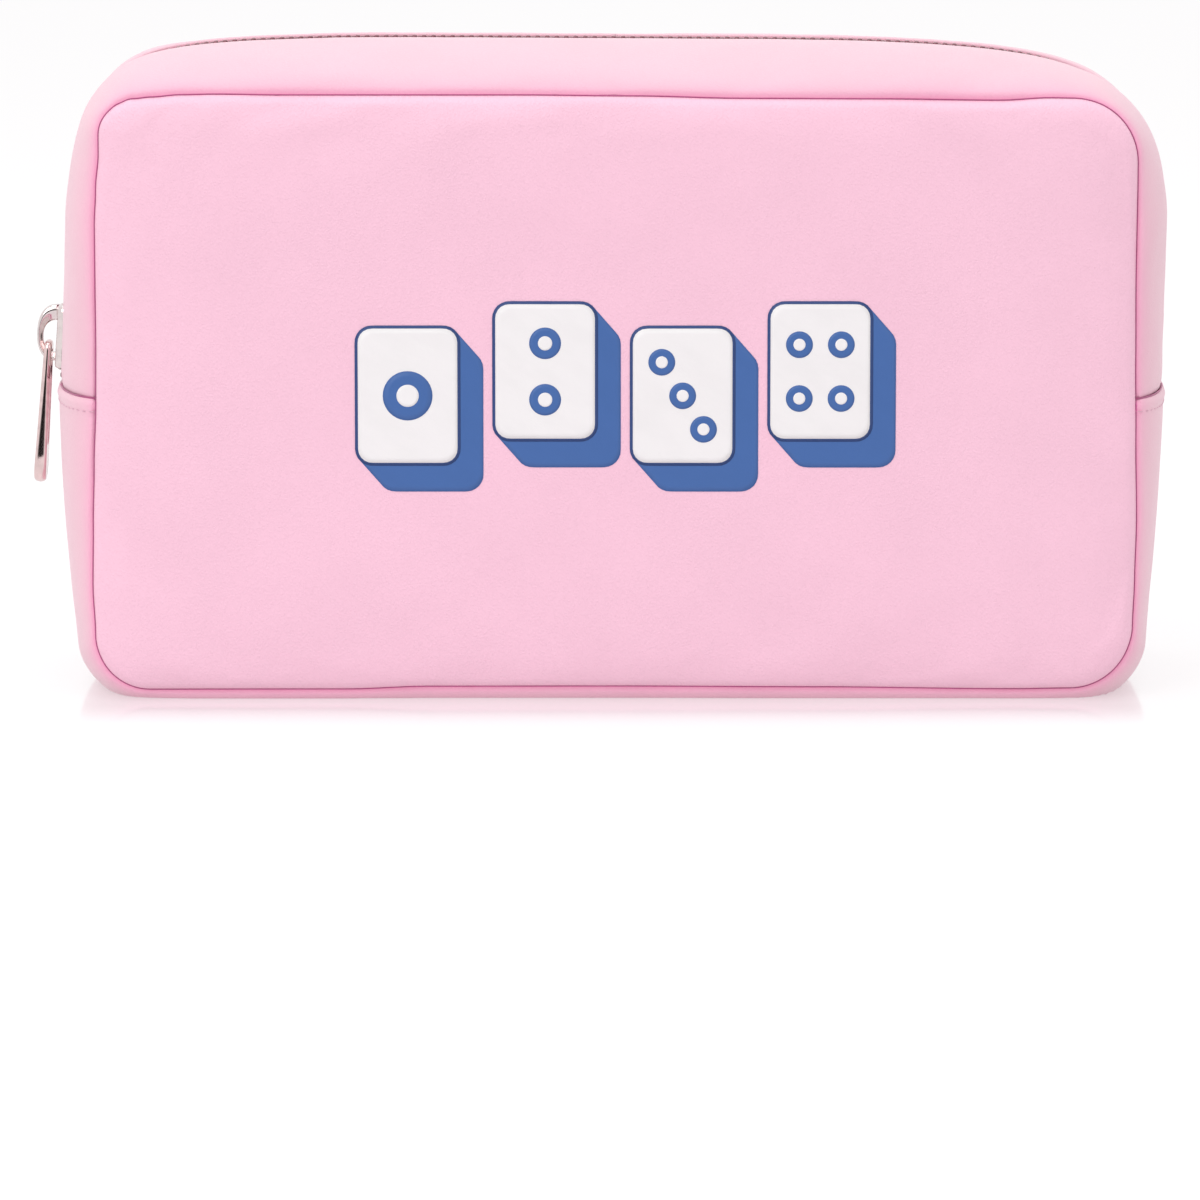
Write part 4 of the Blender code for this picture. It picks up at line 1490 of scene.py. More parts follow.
class ZipGusset:
    """The wall that holds the zip, in a front and a back half, each from joint to joint.

    Every piece is cut in two at the middle of the top.
    """

    turns = 30
    seed = 23
    crease = 0.26 * MM
    crease_share = 0.75
    strip_edge = 7.5 * MM
    tape_inner = 1.9 * MM
    tape_hidden = 8.5 * MM
    tape_turns = 14
    lining_turns = 18
    bend_start = 127 * MM
    bend_end = 56 * MM
    tuck = 0.5 * MM
    tuck_run = 1.6 * MM
    hidden_end = 0.95 * MM
    valley_top = 0.35 * MM
    valley_bend = 1.6 * MM
    valley_width = 8.5 * MM
    crest_place = 13.5 * MM
    crest_width = 9 * MM
    crest_share = 0.2
    crown = ((-125, 0.0), (-95, 0.45), (-70, 0.65), (-10, 0.2), (30, 0.0), (90, -0.15), (110, 0.0))
    crown_width = 26 * MM
    valley_start = 100 * MM
    valley_end = 113 * MM
    valley_ease = 30 * MM
    waist_start = 5 * MM
    waist_ease = 4 * MM
    phase = 1.9
    waves = (13 * MM, 7.3 * MM, 37 * MM)
    wave_height = 0.14 * MM
    slow_height = 0.3 * MM
    hump_place = 7 * MM
    zip_ease = 6 * MM

    def __init__(self, form: BagForm, side: Side) -> None:
        """Takes the bag's sizes and the half."""
        self.form = form
        self.side = side
        self.wall = Wall.upper(form)
        self.middle_row = STEPS.leg + STEPS.corner + STEPS.ease + STEPS.top // 2
        self.angles = self.spread(None, self.strip_edge, self.turns)
        bare = self.wall.surface(self.angles, 0.0, side.value)
        self.inset = travelled(bare, 1)
        self.run = travelled(bare[:, -1])
        cloth = SewnCloth(self.seed + side.value, crease=self.crease)
        creases = self.wall.creased(cloth, bare, self.wall.outwards(bare))
        self.relief = creases * self.crease_share + self.waver() - self.tucked()
        self.deep = self.valley()
        at, up = np.array(self.crown, float).T * MM
        self.raised = np.interp(self.wall.middle[:, 0], at, up)

    def spread(self, start: float | None, end: float, steps: int, depth: float = 0.0) -> Array:
        """Angles from the seam, or from a distance off the middle plane, to another such distance."""
        half = self.form.seam_y - depth
        first = 0.0 if start is None else math.acos(start / half)
        return np.linspace(first, math.acos(end / half), steps + 1)

    def waver(self) -> Array:
        """Soft waves along the seam, deepest a little way up the wall and gone at the zip."""
        run, inset = self.run[:, None], self.inset
        wide, close, long = self.waves
        phase = self.phase * self.side.value
        waves = np.sin(run / wide + phase) + 0.7 * np.sin(run / close + 2.2 * phase)
        slow = np.sin(run / long + 0.4 * phase)
        hump = (inset / self.hump_place) * np.exp(1.0 - inset / self.hump_place)
        fade = unit((inset[:, -1:] - inset) / self.zip_ease)
        return hump * fade * (self.wave_height * waves + self.slow_height * slow)

    def valley(self) -> Array:
        """How deep the zip lies between the two strips: little along the top, more round the shoulders."""
        x, z = self.wall.middle.T
        bent = eased((abs(x) - self.valley_start) / self.valley_ease, self.valley_bend)
        return self.valley_top + eased((z - self.valley_end) / self.valley_ease, bent)

    def sunk(self, points: Array) -> Array:
        """How far points of the wall lie lower, in the valley, or higher, on the crests beside it."""
        away = abs(points[..., 1])
        crest = self.crest_share * hill(away - self.crest_place, self.crest_width)
        sunk = self.deep[:, None] * (hill(away, self.valley_width) - crest)
        waist = WAIST.depth(points) * unit((away - self.waist_start) / self.waist_ease)
        return sunk + waist - self.raised[:, None] * hill(away, self.crown_width)

    def tucked(self) -> Array:
        """How the ends slip under the rolled edge of the lower gusset."""
        return self.tuck * hill(self.from_joint()[:, None], self.tuck_run) + 0.0 * self.inset

    def from_joint(self) -> Array:
        """How far each row lies from the nearer joint."""
        return np.minimum(self.run, self.run[-1] - self.run)

    def halves(self) -> list[tuple[End, slice]]:
        """The rows of the left and of the right half."""
        return [(End.LEFT, slice(0, self.middle_row + 1)), (End.RIGHT, slice(self.middle_row, None))]

    def fold_away(self, piece: Piece, end: End) -> None:
        """Bakes a piece's placement into its mesh."""
        self.side.fold
        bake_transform(piece)

    def lay_piping(self) -> None:
        """Cloth-bound cords inside the mouth's long seam: one on the panel, two halves on the fold."""
        cord = PIPING
        y = self.side.value * (self.form.seam_y - cord.inward)
        for end, rows in self.halves():
            seam = self.wall.seam[rows]
            seam = seam[abs(seam[:, 0]) < cord.half]
            radii = cord.radius * np.clip((cord.half - abs(seam[:, 0])) / cord.taper, cord.least, 1.0)
            for word, rise in (("panel", cord.apart), ("fold", -cord.apart)):
                path = np.stack((seam[:, 0], np.full(len(seam), y), seam[:, 1] + rise), 1)
                name = f"{self.side.label}_{word}_piping_{end.label}"
                piece = Bundle().add(*tube(path, radii, 12, ACROSS)).piece(name)
                dress(piece, LINING, "lining_nylon", "bag" if rise > 0 else None)
                if rise < 0:
                    self.fold_away(piece, end)

    def nodes(self, end: End, kind: str) -> list[str]:
        """The frame's nodes that one half of a piece stands for."""
        label = self.side.label
        return [f"{label}_zip_{end.label}_{kind}", f"{label}_zip_top_{kind}"]

    def sheet_layer(
        self, kind: str, angles: Array, depth: float, thickness: float, finish: Finish, slot: str
    ) -> None:
        """Builds and dresses both halves of one layer of the wall.

        Args:
            kind: the word for the layer in the frame's nodes.
            angles: where it runs from and to.
            depth: how deep its outer face lies.
            thickness: its thickness.
            finish: its finish.
            slot: the record's material slot; not used.
        """
        faces = [self.wall.surface(angles, at, self.side.value) for at in (depth, depth + thickness)]
        own = np.linspace(0.0, self.turns, self.turns + 1)
        at = np.interp(angles, self.angles, own)
        relief, inset = (sampled(at, own, field.T).T for field in (self.relief, self.inset))
        outwards = self.wall.outwards(faces[0])
        lift = outwards * (relief - self.sunk(faces[0]))[..., None]
        lift[..., 1] -= self.side.value * GROOVE.sink(inset)
        faces = [face + lift for face in faces]
        cloth = ClothShell(faces[0], outwards, relief).cloth
        joint = np.maximum(self.from_joint() - self.hidden_end, 0.0)
        seam = np.stack((np.broadcast_to(joint[:, None], inset.shape), inset), -1)
        for end, rows in self.halves():
            name = f"{self.side.label}_zip_{kind}_{end.label}"
            cut = [face[rows] for face in faces]
            piece = layer_piece(name, *cut, cloth[rows], seam[rows], flush=-1 if end is End.LEFT else 0)
            dress(piece, finish, slot, None, *self.nodes(end, kind))
            self.fold_away(piece, end)

    def build(self) -> None:
        """Builds and dresses strip, tape and lining of this half."""
        strip, tape, lining = 0.0, LAYERS.tape_depth, LAYERS.zip_lining_depth
        self.sheet_layer("strip", self.angles, strip, LAYERS.strip, GUSSET_CLOTH, "gusset_leather")
        angles = self.spread(self.strip_edge + self.tape_hidden, self.tape_inner, self.tape_turns, tape)
        self.sheet_layer("tape", angles, tape, LAYERS.tape, TAPE, "zip_tape")
        angles = self.spread(None, self.strip_edge, self.lining_turns, lining)
        self.sheet_layer("lining", angles, lining, LAYERS.lining, LINING, "lining_nylon")
        self.lay_piping()
        LOG.info("%s zip gusset: strip, tape and lining", self.side.label)


class Teeth:
    """One row of the zip's teeth: moulded staples that grip the edge of the tape."""

    pitch = 2.37 * MM
    body_width = 1.4 * MM
    back_sunk = 0.4 * MM
    head_width = 0.92 * MM
    thickness = 0.8 * MM
    upper_depth = 0.3 * MM
    lower_depth = 2.3 * MM
    outer = 2.75 * MM
    cross = 0.42 * MM
    parted = 1.0 * MM
    parted_run = 9.0 * MM
    margin = 1.6 * MM
    foot = 0.9 * MM
    head = 0.75 * MM
    slope = 0.12 * MM
    flank = 1.1 * MM
    foot_share = 0.72
    wide_power = 0.7
    tall_power = 0.8

    def __init__(self, gusset: ZipGusset) -> None:
        """Takes the half of the zip gusset that the row is sewn to."""
        self.gusset = gusset
        self.run = travelled(gusset.wall.middle)

    def tooth(self, start: float) -> Solid:
        """One tooth at a distance along the zip, as points and faces."""
        wall, side = self.gusset.wall, self.gusset.side.value
        at, out = (sampled(start, self.run, values) for values in (wall.middle, wall.outward))
        out /= np.linalg.norm(out)
        centre = np.array((at[0], 0.0, at[1]))
        up = np.array((out[0], 0.0, out[1]))
        along = np.array((out[1], 0.0, -out[0]))
        shift = self.parted * max(0.0, 1.0 - start / self.parted_run) ** 0.5
        turn = np.linspace(0.0, math.pi, 7)
        sunk = float(np.interp(start, self.run, self.gusset.deep - self.gusset.raised))
        sunk += self.back_sunk if self.gusset.side is Side.BACK else 0.0
        deep = sunk + (self.upper_depth + self.lower_depth) / 2
        reach = (self.lower_depth - self.upper_depth) / 2
        arc_y = -self.cross + self.head - self.head * np.sin(turn)
        foot = self.outer - self.foot
        y = np.concatenate(((self.outer, foot), arc_y, (foot, self.outer)))
        upper = np.array((self.upper_depth + self.slope, self.upper_depth)) + sunk
        d = np.concatenate((upper, deep - reach * np.cos(turn), [self.lower_depth + sunk] * 2))
        path = centre + np.outer(side * (y + shift), ACROSS) - np.outer(d, up)
        share = unit((y + self.cross) / (self.outer + self.cross - self.flank))
        widths = (self.head_width + (self.body_width - self.head_width) * share) / 2
        widths[[0, -1]] *= self.foot_share
        return self.band(path, widths, along)

    def band(self, path: Array, widths: Array, along: Array) -> Solid:
        """A bar of rounded section that follows a path across the zip."""
        travel = np.gradient(path, axis=0)
        travel /= np.linalg.norm(travel, axis=1)[:, None]
        rise = np.cross(travel, along)
        angles = round_angles(10)[None, :, None]
        ring = bulged(np.cos(angles), self.wide_power) * along * widths[:, None, None]
        ring = ring + bulged(np.sin(angles), self.tall_power) * rise[:, None] * self.thickness / 2
        return loft(list(path[:, None] + ring))

    def build(self) -> None:
        """Builds both halves of the row, half a pitch behind the other row's teeth."""
        gusset = self.gusset
        offset = 0.0 if gusset.side is Side.FRONT else self.pitch / 2
        length = self.run[-1]
        middle = self.run[gusset.middle_row]
        bundles = {End.LEFT: Bundle(), End.RIGHT: Bundle()}
        start = self.margin + offset
        while start < length - self.margin:
            bundles[End.LEFT if start < middle else End.RIGHT].add(*self.tooth(start))
            start += self.pitch
        for end, bundle in bundles.items():
            row = bundle.piece(f"{gusset.side.label}_zip_teeth_{end.label}")
            dress(row, COIL, "zip_coil", None, *gusset.nodes(end, "coil"))
            gusset.fold_away(row, end)
        LOG.info("%s row of teeth", gusset.side.label)


def frame_joint(name: str) -> dict:
    """A joint of the frame, by its name."""
    return next(joint for joint in frame["joints"] if joint["name"] == name)


class SliderPlace:
    """The slider's own axes: up the zip, across it, and out of the bag."""

    park = 3.9 * MM

    def __init__(self, form: BagForm) -> None:
        """Takes the bag's sizes; the direction of the run comes from the frame's joint."""
        self.up = np.array(frame_joint("zip_slide")["axis"])
        self.out = np.cross(self.up, ACROSS)
        self.out *= -np.sign(self.out[0])
        inward = form.lean_left * self.park / form.lean_run
        self.origin = np.array((inward - form.mid_left, 0.0, form.joint + self.park))

    def world(self, out: Array, across: Array, up: Array) -> Array:
        """World points from distances out of the bag, across the zip and up it."""
        places = [np.asarray(value, float)[..., None] for value in (out, across, up)]
        return self.origin + places[0] * self.out + places[1] * ACROSS + places[2] * self.up


class Slider:
    """The zip slider: a crowned outer plate, an inner plate, the post between them, and the bail."""

    length = 15.4 * MM
    tail = 5.1 * MM
    spread = 1.1 * MM
    plate = 1.2 * MM
    face = 1.0 * MM
    lip = -1.0 * MM
    channel = 3.1 * MM
    under_back = -2.9 * MM
    under_face = -4.1 * MM
    under_lip = -2.2 * MM
    bail_arch = (8.3 * MM, 5.1 * MM, 7.1 * MM, 2.5)
    bail_hole = (7.4 * MM, 3.6 * MM, 4.1 * MM, 2.3)
    bail_width = 1.7 * MM
    bail_rise = 0.1 * MM
    bail_profile = (
        (0.0, 0.62), (0.1, 0.9), (0.3, 1.0), (0.46, 0.97), (0.58, 0.78), (0.86, 0.62), (1.0, 0.4),
    )
    crown = 0.22 * MM
    shoulder = 1.3 * MM
    chamfer = 0.15 * MM
    end_run = 0.7 * MM
    end_pull = 0.35 * MM
    foot_width = 2.6 * MM
    foot_radius = 0.85 * MM
    foot_half = 0.42 * MM
    foot_sunk = 0.45 * MM
    foot_rise = 0.35 * MM
    foot_root = 1.2 * MM
    foot_stretch = 1.15
    post_half = 0.25 * MM
    post_place = 2.3 * MM
    post_long = 1.7 * MM

    def __init__(self, place: SliderPlace) -> None:
        """Takes the slider's axes."""
        self.place = place

    def width(self, up: Array) -> Array:
        """Half width of the plates at a height: broad shoulders below, a narrower tail above."""
        shares = np.array((0.0, 0.08, 0.3, 0.65, 0.92, 1.0))
        widths = np.array((0.8, 0.97, 1.0, 0.35, 0.02, -0.35))
        return self.tail + self.spread * np.interp(up / self.length, shares, widths)

    def plate_section(self, up: float, half: float, face: float, lip: float, squeeze: float) -> Array:
        """A plate's section: a crowned face with rounded shoulders and a lip down each side."""
        sign = math.copysign(1.0, face - lip)
        turn = np.linspace(math.pi / 2, math.pi / 16, 8)
        edge_y = half - self.shoulder + self.shoulder * np.cos(turn)
        edge_o = lip + (face - lip) * np.sin(turn)
        crown_y = np.linspace(0.0, half - self.shoulder, 7)[1:-1]
        crown_o = face + sign * self.crown * (1.0 - (crown_y / half) ** 2)
        chamfer, cut, channel = self.chamfer, lip + sign * self.chamfer, self.channel
        outline = [(face + sign * self.crown, 0.0)]
        outline += list(zip(crown_o, crown_y)) + list(zip(edge_o, edge_y))
        outline += [(cut, half), (lip, half - chamfer), (lip, channel + chamfer), (cut, channel)]
        outline.append((face - sign * self.plate, channel))
        centre = (face + lip) / 2
        points = [(centre + (o - centre) * squeeze, y) for o, y in outline]
        points += [(o, -y) for o, y in reversed(points) if y > 0]
        out, across = np.array(points).T
        return self.place.world(out, across, np.full(len(out), up))

    def plate_body(self, face: float, lip: float) -> Solid:
        """One plate with its lips, rounded off at both ends."""
        sections = []
        for up in (1.0 - np.cos(np.linspace(0.0, math.pi, 27))) / 2.0 * self.length:
            near_end = (1.0 - min(min(up, self.length - up) / self.end_run, 1.0)) ** 2
            squeeze = math.sqrt(max(0.0, 1.0 - near_end)) * 0.25 + 0.75
            half = float(self.width(up)) - self.end_pull * near_end
            sections.append(self.plate_section(up, half, face, lip, squeeze))
        return loft(sections)

    def foot(self) -> Solid:
        """The small lip that curls in under the outer plate's lower end."""
        turn = np.linspace(0.0, math.radians(140.0), 9)
        radius, angles = self.foot_radius, round_angles(14)
        out = self.face - self.foot_sunk - radius + radius * np.cos(turn)
        up = self.foot_rise - radius * np.sin(turn) * self.foot_stretch
        rows = zip((out[0], *out), (self.foot_root, *up), (0.0, *turn))
        wide = self.foot_width * bulged(np.cos(angles), 0.5)
        sections = []
        for index, (o, u, lean) in enumerate(rows):
            tall = self.foot_half * (1.0 if index < 8 else 0.75) * bulged(np.sin(angles), 0.7)
            sections.append(self.place.world(o + tall * math.cos(lean), wide, u - tall * math.sin(lean)))
        return loft(sections)

    def post(self) -> Solid:
        """The post that parts the teeth and holds the plates together."""
        angles = round_angles(12)
        across, up = self.post_half * np.cos(angles), self.post_place + self.post_long * np.sin(angles)
        outs = np.linspace(self.under_back - 0.3 * MM, 0.1 * MM, 5)
        return loft([self.place.world(np.full(len(angles), out), across, up) for out in outs])

    @staticmethod
    def arch(share: Array, seat: float, reach: float, half: float, power: float) -> Array:
        """Points of an arch over the plate, as distances out of it and up it."""
        angle = math.pi * (share - 0.5)
        out = reach * abs(np.cos(angle)) ** (2 / power)
        return np.stack((out, seat + half * bulged(np.sin(angle), 2 / power)), 1)

    def bail(self) -> Solid:
        """The bail: an arch whose face slopes in from a broad outer band to its hole."""
        share = np.linspace(0.0, 1.0, 41)
        outer, hole = (self.arch(share, *arch) for arch in (self.bail_arch, self.bail_hole))
        back = ((inward, -wide) for inward, wide in reversed(self.bail_profile))
        inward, wide = np.array((*self.bail_profile, *back)).T
        sections = []
        for far, near in zip(outer, hole):
            out, up = (far + (near - far) * inward[:, None]).T
            out = self.face + self.bail_rise + out
            sections.append(self.place.world(out, wide * self.bail_width, up))
        return loft(sections)

    def build(self) -> None:
        """Builds and dresses body and bail."""
        plates = (self.plate_body(self.face, self.lip), self.plate_body(self.under_face, self.under_lip))
        solids = {"body": (*plates, self.post(), self.foot()), "bail": (self.bail(),)}
        for word, parts in solids.items():
            bundle = Bundle()
            for solid in parts:
                bundle.add(*solid)
            piece = bundle.piece(f"zip_slider_{word}")
            dress(piece, SLIDER_PLATING, "slider_metal", "zip_slider", f"slider_{word}")
        LOG.info("slider with its bail")


class Pull:
    """The pull tab: a long rounded loop of cast metal with a slot, hanging from the bail."""

    length = 35.6 * MM
    head_half = 3.3 * MM
    tail_half = 4.5 * MM
    head_thick = 1.9 * MM
    tail_thick = 3.0 * MM
    slot_half = 1.95 * MM
    slot_length = 24.0 * MM
    crown = 0.7 * MM
    head_rise = 1.8 * MM
    head_power = 2.6
    slot_rise = 0.5 * MM
    slot_power = 5.0
    lean = math.radians(4.2)
    steps = 16
    profile = (
        (0.0, 0.0), (0.014, 0.22), (0.06, 0.44), (0.145, 0.66), (0.25, 0.82), (0.37, 0.93), (0.48, 0.99),
        (0.6, 1.0), (0.74, 0.98), (0.88, 0.88), (0.97, 0.68), (1.0, 0.4), (1.0, 0.0),
    )

    def __init__(self) -> None:
        """Reads the pivot from the frame."""
        self.pivot = np.array(frame_joint("pull_swing")["pos_m"])
        self.down = np.array((-math.sin(self.lean), 0.0, -math.cos(self.lean)))
        self.out = np.array((-math.cos(self.lean), 0.0, math.sin(self.lean)))

    def outline(self, head: float, rise: float, power: float, tail: float, top: float, end: float) -> Array:
        """A closed loop of a head, straight sides and a round tail, across the tab and down it."""
        turn = np.linspace(0.0, math.pi, self.steps + 1)
        falls = rise * (1.0 - np.sin(turn) ** (2 / power))
        arch = np.stack((head * bulged(np.cos(turn), 2 / power), top + falls), 1)
        foot = np.stack((-tail * np.cos(turn), end - tail + tail * np.sin(turn)), 1)
        share = np.linspace(0.0, 1.0, 10)[1:-1, None]
        left = arch[-1] + (foot[0] - arch[-1]) * share
        right = foot[-1] + (arch[0] - foot[-1]) * share
        return np.concatenate((arch, left, foot, right))

    def build(self) -> None:
        """Builds the tab as rings of points from its outer edge, over its face, to the slot and back."""
        bar, half = self.head_thick / 2, self.slot_half
        ends = (-bar - self.crown, self.length - bar)
        rise = self.head_rise + self.crown
        outer = self.outline(self.head_half, rise, self.head_power, self.tail_half, *ends)
        slot = self.outline(half, self.slot_rise, self.slot_power, half, bar, bar + self.slot_length)
        more = self.tail_thick - self.head_thick
        thick, thin = (self.head_thick + more * unit(loop[:, 1] / self.length) for loop in (outer, slot))
        width = np.linalg.norm(slot - outer, axis=1)
        edge = width.min() / width
        rings = []
        for share, rise in (*self.profile, *((share, -rise) for share, rise in self.profile[-2:0:-1])):
            inward = share * edge if share < 0.5 else 1.0 - (1.0 - share) * edge
            across, down = (outer + (slot - outer) * inward[:, None]).T
            height = (thick + (thin - thick) * inward) / 2 * rise
            ring = np.outer(across, ACROSS) + np.outer(down, self.down) + np.outer(height, self.out)
            rings.append(self.pivot + ring)
        faces = ring_faces(len(rings), len(outer), closed=True)
        tab = Bundle().add(np.concatenate(rings), faces).piece("zip_pull_tab")
        dress(tab, PULL_PLATING, "pull_metal", "zip_pull", "pull_tab")
        LOG.info("pull tab")


@dataclass(frozen=True)
class Motif:
    """One printed tile: its place on the panel and the pips on its face."""

    across: float
    height: float
    pips: tuple[tuple[float, float, float], ...]


class TilePrint:
    """A plain printed design: four game tiles with a block shadow, stepped up and down."""

    tile_half = 12.2 * MM
    tile_tall = 16.6 * MM
    corner = 3.4 * MM
    line = 0.75 * MM
    shadow = (5.6 * MM, -6.4 * MM)
    centre = (2.2 * MM, 76.3 * MM)
    pitch = 33.7 * MM
    step = 3.0 * MM
    film = 0.035 * MM
    levels = (0.05 * MM, 0.1 * MM, 0.15 * MM, 0.2 * MM, 0.25 * MM)
    inks = {
        "shadow": BLUE_FILM, "outline": NAVY_FILM, "face": WHITE_FILM,
        "pips": BLUE_FILM, "eyes": WHITE_FILM,
    }
    eye_share = 0.45
    merged = 1e-7
    ring_step = 1.6 * MM

    def __init__(self, panel: Panel) -> None:
        """Takes the panel that carries the print."""
        mesh = panel.skin.data
        points = [vertex.co.copy() for vertex in mesh.vertices]
        self.tree = BVHTree.FromPolygons(points, [list(face.vertices) for face in mesh.polygons])
        self.in_front = panel.form.seam_y * 2

    def motifs(self) -> list[Motif]:
        """The four tiles, with one to four pips."""
        layouts = (
            ((0.0, 0.0, 0.5),),
            ((0.0, 0.42, 0.32), (0.0, -0.42, 0.32)),
            ((-0.42, 0.5, 0.27), (0.0, 0.0, 0.27), (0.42, -0.5, 0.27)),
            ((-0.42, 0.4, 0.27), (0.42, 0.4, 0.27), (-0.42, -0.4, 0.27), (0.42, -0.4, 0.27)),
        )
        made = []
        for number, pips in enumerate(layouts):
            across = self.centre[0] + (number - 1.5) * self.pitch - self.shadow[0] / 2
            height = self.centre[1] + (self.step if number % 2 else -self.step) - self.shadow[1] / 2
            made.append(Motif(across, height, pips))
        return made

    def rounded(self, motif: Motif, grow: float) -> Array:
        """The outline of a tile, grown by a distance."""
        half, tall, radius = self.tile_half + grow, self.tile_tall + grow, self.corner + grow
        corners = ((1, 1, 0.0), (-1, 1, 90.0), (-1, -1, 180.0), (1, -1, 270.0))
        loop = []
        for across, up, start in corners:
            centre = (motif.across + across * (half - radius), motif.height + up * (tall - radius))
            loop += bend(centre, radius, start, start + 90.0, 8)
            loop += bend(centre, radius, start + 90.0, start, 1)
        return self.even(np.array(loop), 96)

    @staticmethod
    def even(loop: Array, count: int) -> Array:
        """A closed loop with evenly spaced points."""
        closed = np.concatenate((loop, loop[:1]))
        run = travelled(closed)
        return sampled(np.linspace(0.0, run[-1], count, endpoint=False), run, closed)

    def shadow_loop(self, motif: Motif) -> Array:
        """The block shadow: all that the tile's outline sweeps over on its way to the shadow's corner."""
        loop = self.rounded(motif, self.line)
        angles = round_angles(240)
        directions = np.stack((np.cos(angles), np.sin(angles)), 1)
        both = np.concatenate((loop, loop + np.array(self.shadow)))
        support = both[np.argmax(both @ directions.T, axis=0)]
        keep = np.linalg.norm(support - np.roll(support, 1, axis=0), axis=1) > self.merged
        return self.even(support[keep], 120)

    def pip_loop(self, motif: Motif, pip: tuple[float, float, float], share: float) -> Array:
        """The outline of a round pip."""
        turn = round_angles(40)
        radius = pip[2] * self.tile_half * share
        across = motif.across + pip[0] * self.tile_half + radius * np.cos(turn)
        height = motif.height + pip[1] * self.tile_tall + radius * np.sin(turn)
        return np.stack((across, height), 1)

    def film_body(self, loop: Array, level: float) -> Solid:
        """A thin film inside a loop, lying at a level on the panel."""
        centre = loop.mean(0)
        rings = max(4, int(np.linalg.norm(loop - centre, axis=1).max() / self.ring_step))
        flat = [centre + (loop - centre) * (1.0 - step / rings) for step in range(rings)]
        flat = np.concatenate((*flat, centre[None]))
        starts = [Vector((x, -self.in_front, z)) for x, z in flat]
        deep = np.array([self.tree.ray_cast(start, Vector(ACROSS))[0].y for start in starts])
        count, total = len(loop), len(flat)
        faces_at = (deep - level - self.film, deep - level + self.film)
        top, under = (np.stack((flat[:, 0], y, flat[:, 1]), 1) for y in faces_at)
        faces = []
        for index in range(count):
            following = (index + 1) % count
            for ring in range(rings - 1):
                quad = [ring * count + index, ring * count + following]
                quad += [(ring + 1) * count + following, (ring + 1) * count + index]
                faces.append(quad)
                faces.append([number + total for number in reversed(quad)])
            last = (rings - 1) * count
            faces.append([last + index, last + following, total - 1])
            faces.append([last + following + total, last + index + total, 2 * total - 1])
            faces.append([index, index + total, following + total, following])
        return np.concatenate((top, under)), faces

    def loops(self, motif: Motif) -> dict[str, list[Array]]:
        """The outlines that one tile adds to each film, the lowest film first."""
        return {
            "shadow": [self.shadow_loop(motif)],
            "outline": [self.rounded(motif, self.line)],
            "face": [self.rounded(motif, 0.0)],
            "pips": [self.pip_loop(motif, pip, 1.0) for pip in motif.pips],
            "eyes": [self.pip_loop(motif, pip, self.eye_share) for pip in motif.pips],
        }

    def build(self) -> None:
        """Prints shadows, outlines, faces and pips, one film over the other."""
        films = {name: Bundle() for name in self.inks}
        for motif in self.motifs():
            for (name, loops), level in zip(self.loops(motif).items(), self.levels):
                for loop in loops:
                    films[name].add(*self.film_body(loop, level))
        for name, bundle in films.items():
            dress(bundle.piece(f"print_{name}"), self.inks[name], "panel_leather", "bag")
        LOG.info("printed tiles")


@dataclass(frozen=True)
class Lamp:
    """A soft studio light."""

    name: str
    place: tuple[float, float, float]
    size: tuple[float, float]
    power: float


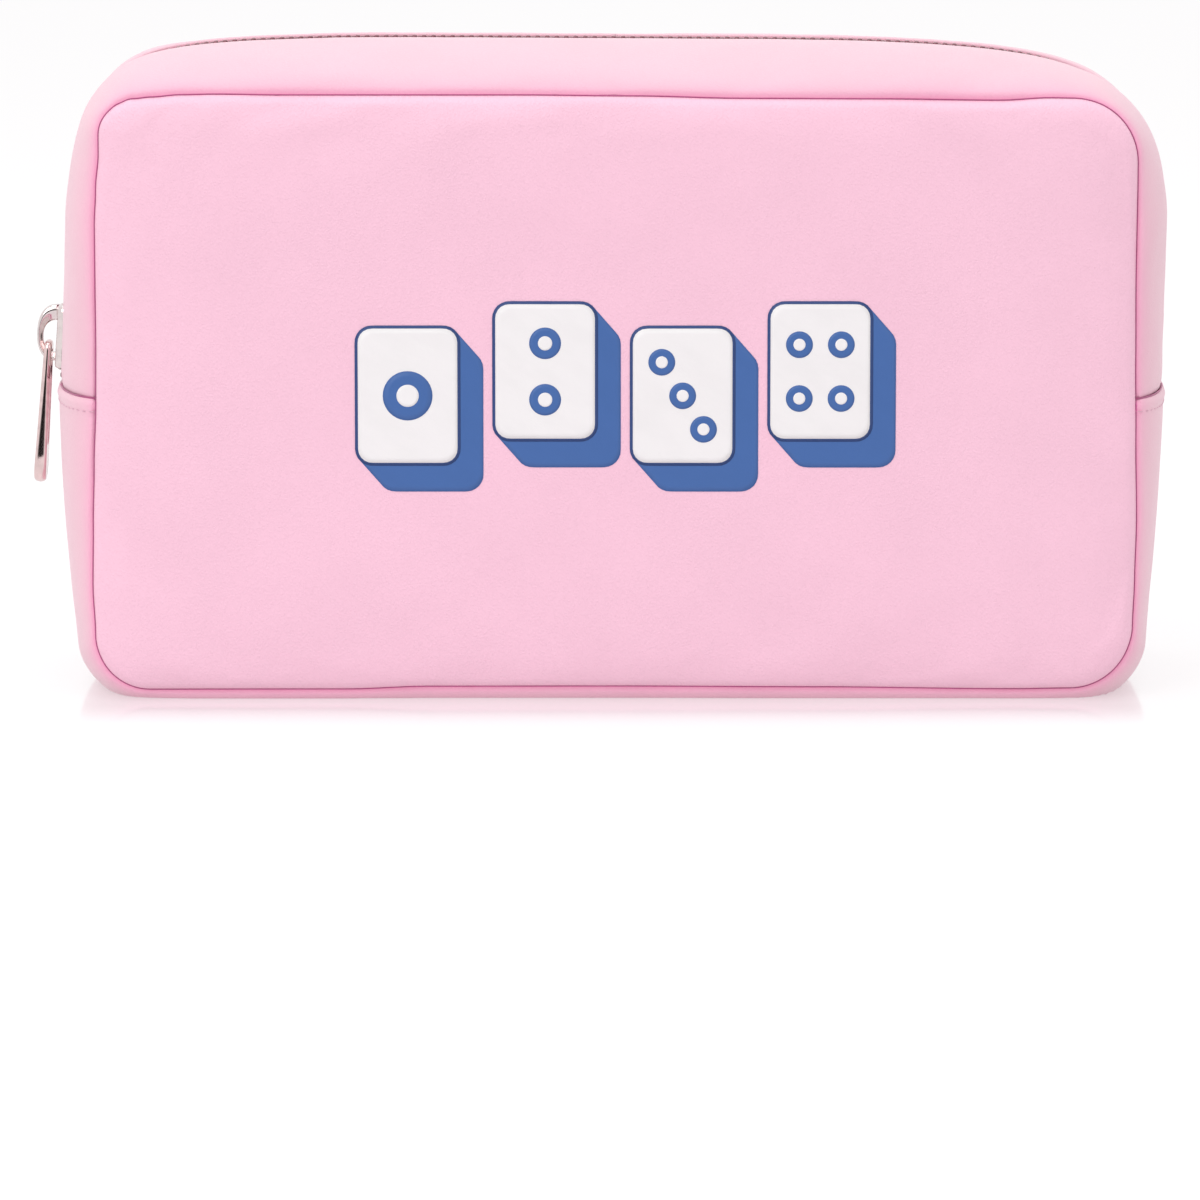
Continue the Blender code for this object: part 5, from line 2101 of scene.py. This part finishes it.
class Studio:
    """Pale floor, soft light and the camera."""

    distance = 1.45
    height = 0.2712
    across = -0.004
    pitch = math.radians(7.28)
    lens = 174.04
    shift = -0.22
    target = (0.0, 0.0, 0.08)
    floor_half = 7.0
    floor_front = 0.52
    shine_start = 44 * MM
    shine_end = 74 * MM
    shine_side = 148 * MM
    shine_fade = 30 * MM
    floor_colour = (0.4, 0.39, 0.395)
    floor_glow = 0.46
    seen_glow = 0.13
    white = (1.0, 1.0, 1.0)
    dark_side = (-0.09, -0.99, -0.1)
    lamps = (
        Lamp("key_light", (-0.75, -1.1, 0.9), (0.9, 0.9), 5.15),
        Lamp("top_light", (-0.1, 0.0, 1.25), (1.3, 0.9), 3.7),
    )

    def add_floor(self) -> None:
        """A wide pale table top with a shine, whose front edge lies just below the view."""
        half, front = self.floor_half, -self.floor_front
        points = [(-half, front, 0.0), (half, front, 0.0), (half, half, 0.0), (-half, half, 0.0)]
        floor = link_mesh("studio_floor", points, [[0, 1, 2, 3]])
        material, board, shader = new_material("pale_floor")
        place = board.axes(board.node("TexCoord").outputs["Object"])
        along, away = (board.sum("ABSOLUTE", axis) for axis in place[:2])
        near = board.spread(away, self.shine_start, self.shine_end, 1.0, 0.0)
        beside = board.spread(along, self.shine_side, self.shine_side + self.shine_fade, 1.0, 0.0)
        board.fill(shader, {
            "Base Color": opaque(self.floor_colour),
            "Roughness": 0.6,
            "Specular IOR Level": 0.0,
            "Coat Weight": board.times(near, beside),
            "Coat Roughness": 0.12,
            "Coat IOR": 1.9,
            "Emission Color": opaque(self.white),
            "Emission Strength": board.line(board.seen(), self.seen_glow, self.floor_glow),
        })
        floor.data.materials.append(material)

    def add_lamps(self) -> None:
        """Large soft lights, all turned to the bag."""
        for lamp in self.lamps:
            light = bpy.data.lights.new(lamp.name, "AREA")
            light.shape = "RECTANGLE"
            light.size, light.size_y = lamp.size
            light.energy = lamp.power
            holder = bpy.data.objects.new(lamp.name, light)
            holder.location = lamp.place
            towards = Vector(self.target) - Vector(lamp.place)
            holder.rotation_euler = towards.to_track_quat("-Z", "Y").to_euler()
            bpy.context.scene.collection.objects.link(holder)

    def add_world(self) -> None:
        """White surroundings behind the bag and dimmer ones in front, dark round the camera.

        Polished metal mirrors the dark part.
        """
        world = bpy.data.worlds.new("studio")
        bpy.context.scene.world = world
        world.use_nodes = True
        board = NodeBoard(world.node_tree)
        direction = board.node("TexCoord").outputs["Generated"]
        front = board.vector("DOT_PRODUCT", direction, self.dark_side).outputs[1]
        dark = board.spread(front, 0.93, 0.985, 1.0, 0.02)
        level = board.times(dark, board.spread(board.axes(direction)[1], -0.1, 0.4, 0.94, 1.0))
        strength = board.sum("MAXIMUM", level, board.seen())
        board.fill(world.node_tree.nodes["Background"], {"Color": opaque(self.white), "Strength": strength})

    def add_camera(self) -> None:
        """The camera, low and slightly to the left of the bag's middle."""
        camera = bpy.data.cameras.new("camera")
        camera.lens = self.lens
        camera.shift_y = self.shift
        camera.clip_start = 0.05
        camera.clip_end = 50.0
        holder = bpy.data.objects.new("camera", camera)
        holder.location = (self.across, -self.distance, self.height)
        holder.rotation_euler = (math.pi / 2 - self.pitch, 0.0, 0.0)
        bpy.context.scene.collection.objects.link(holder)
        bpy.context.scene.camera = holder

    def build(self) -> None:
        """Sets the stage."""
        self.add_floor()
        self.add_lamps()
        self.add_world()
        self.add_camera()
        bpy.context.scene.view_settings.view_transform = "Standard"


def main() -> None:
    """Builds the bag piece by piece, then the studio."""
    logging.basicConfig(level=logging.INFO, format="%(name)s: %(message)s")
    form = BagForm.of_frame()
    LowerGusset(form).build()
    for side in Side:
        panel = Panel(form, side)
        panel.build()
        if side is Side.FRONT:
            TilePrint(panel).build()
        PanelSeam(form, side).build()
        gusset = ZipGusset(form, side)
        gusset.build()
        Teeth(gusset).build()
    Slider(SliderPlace(form)).build()
    Pull().build()
    Studio().build()


if __name__ == "__main__":
    main()
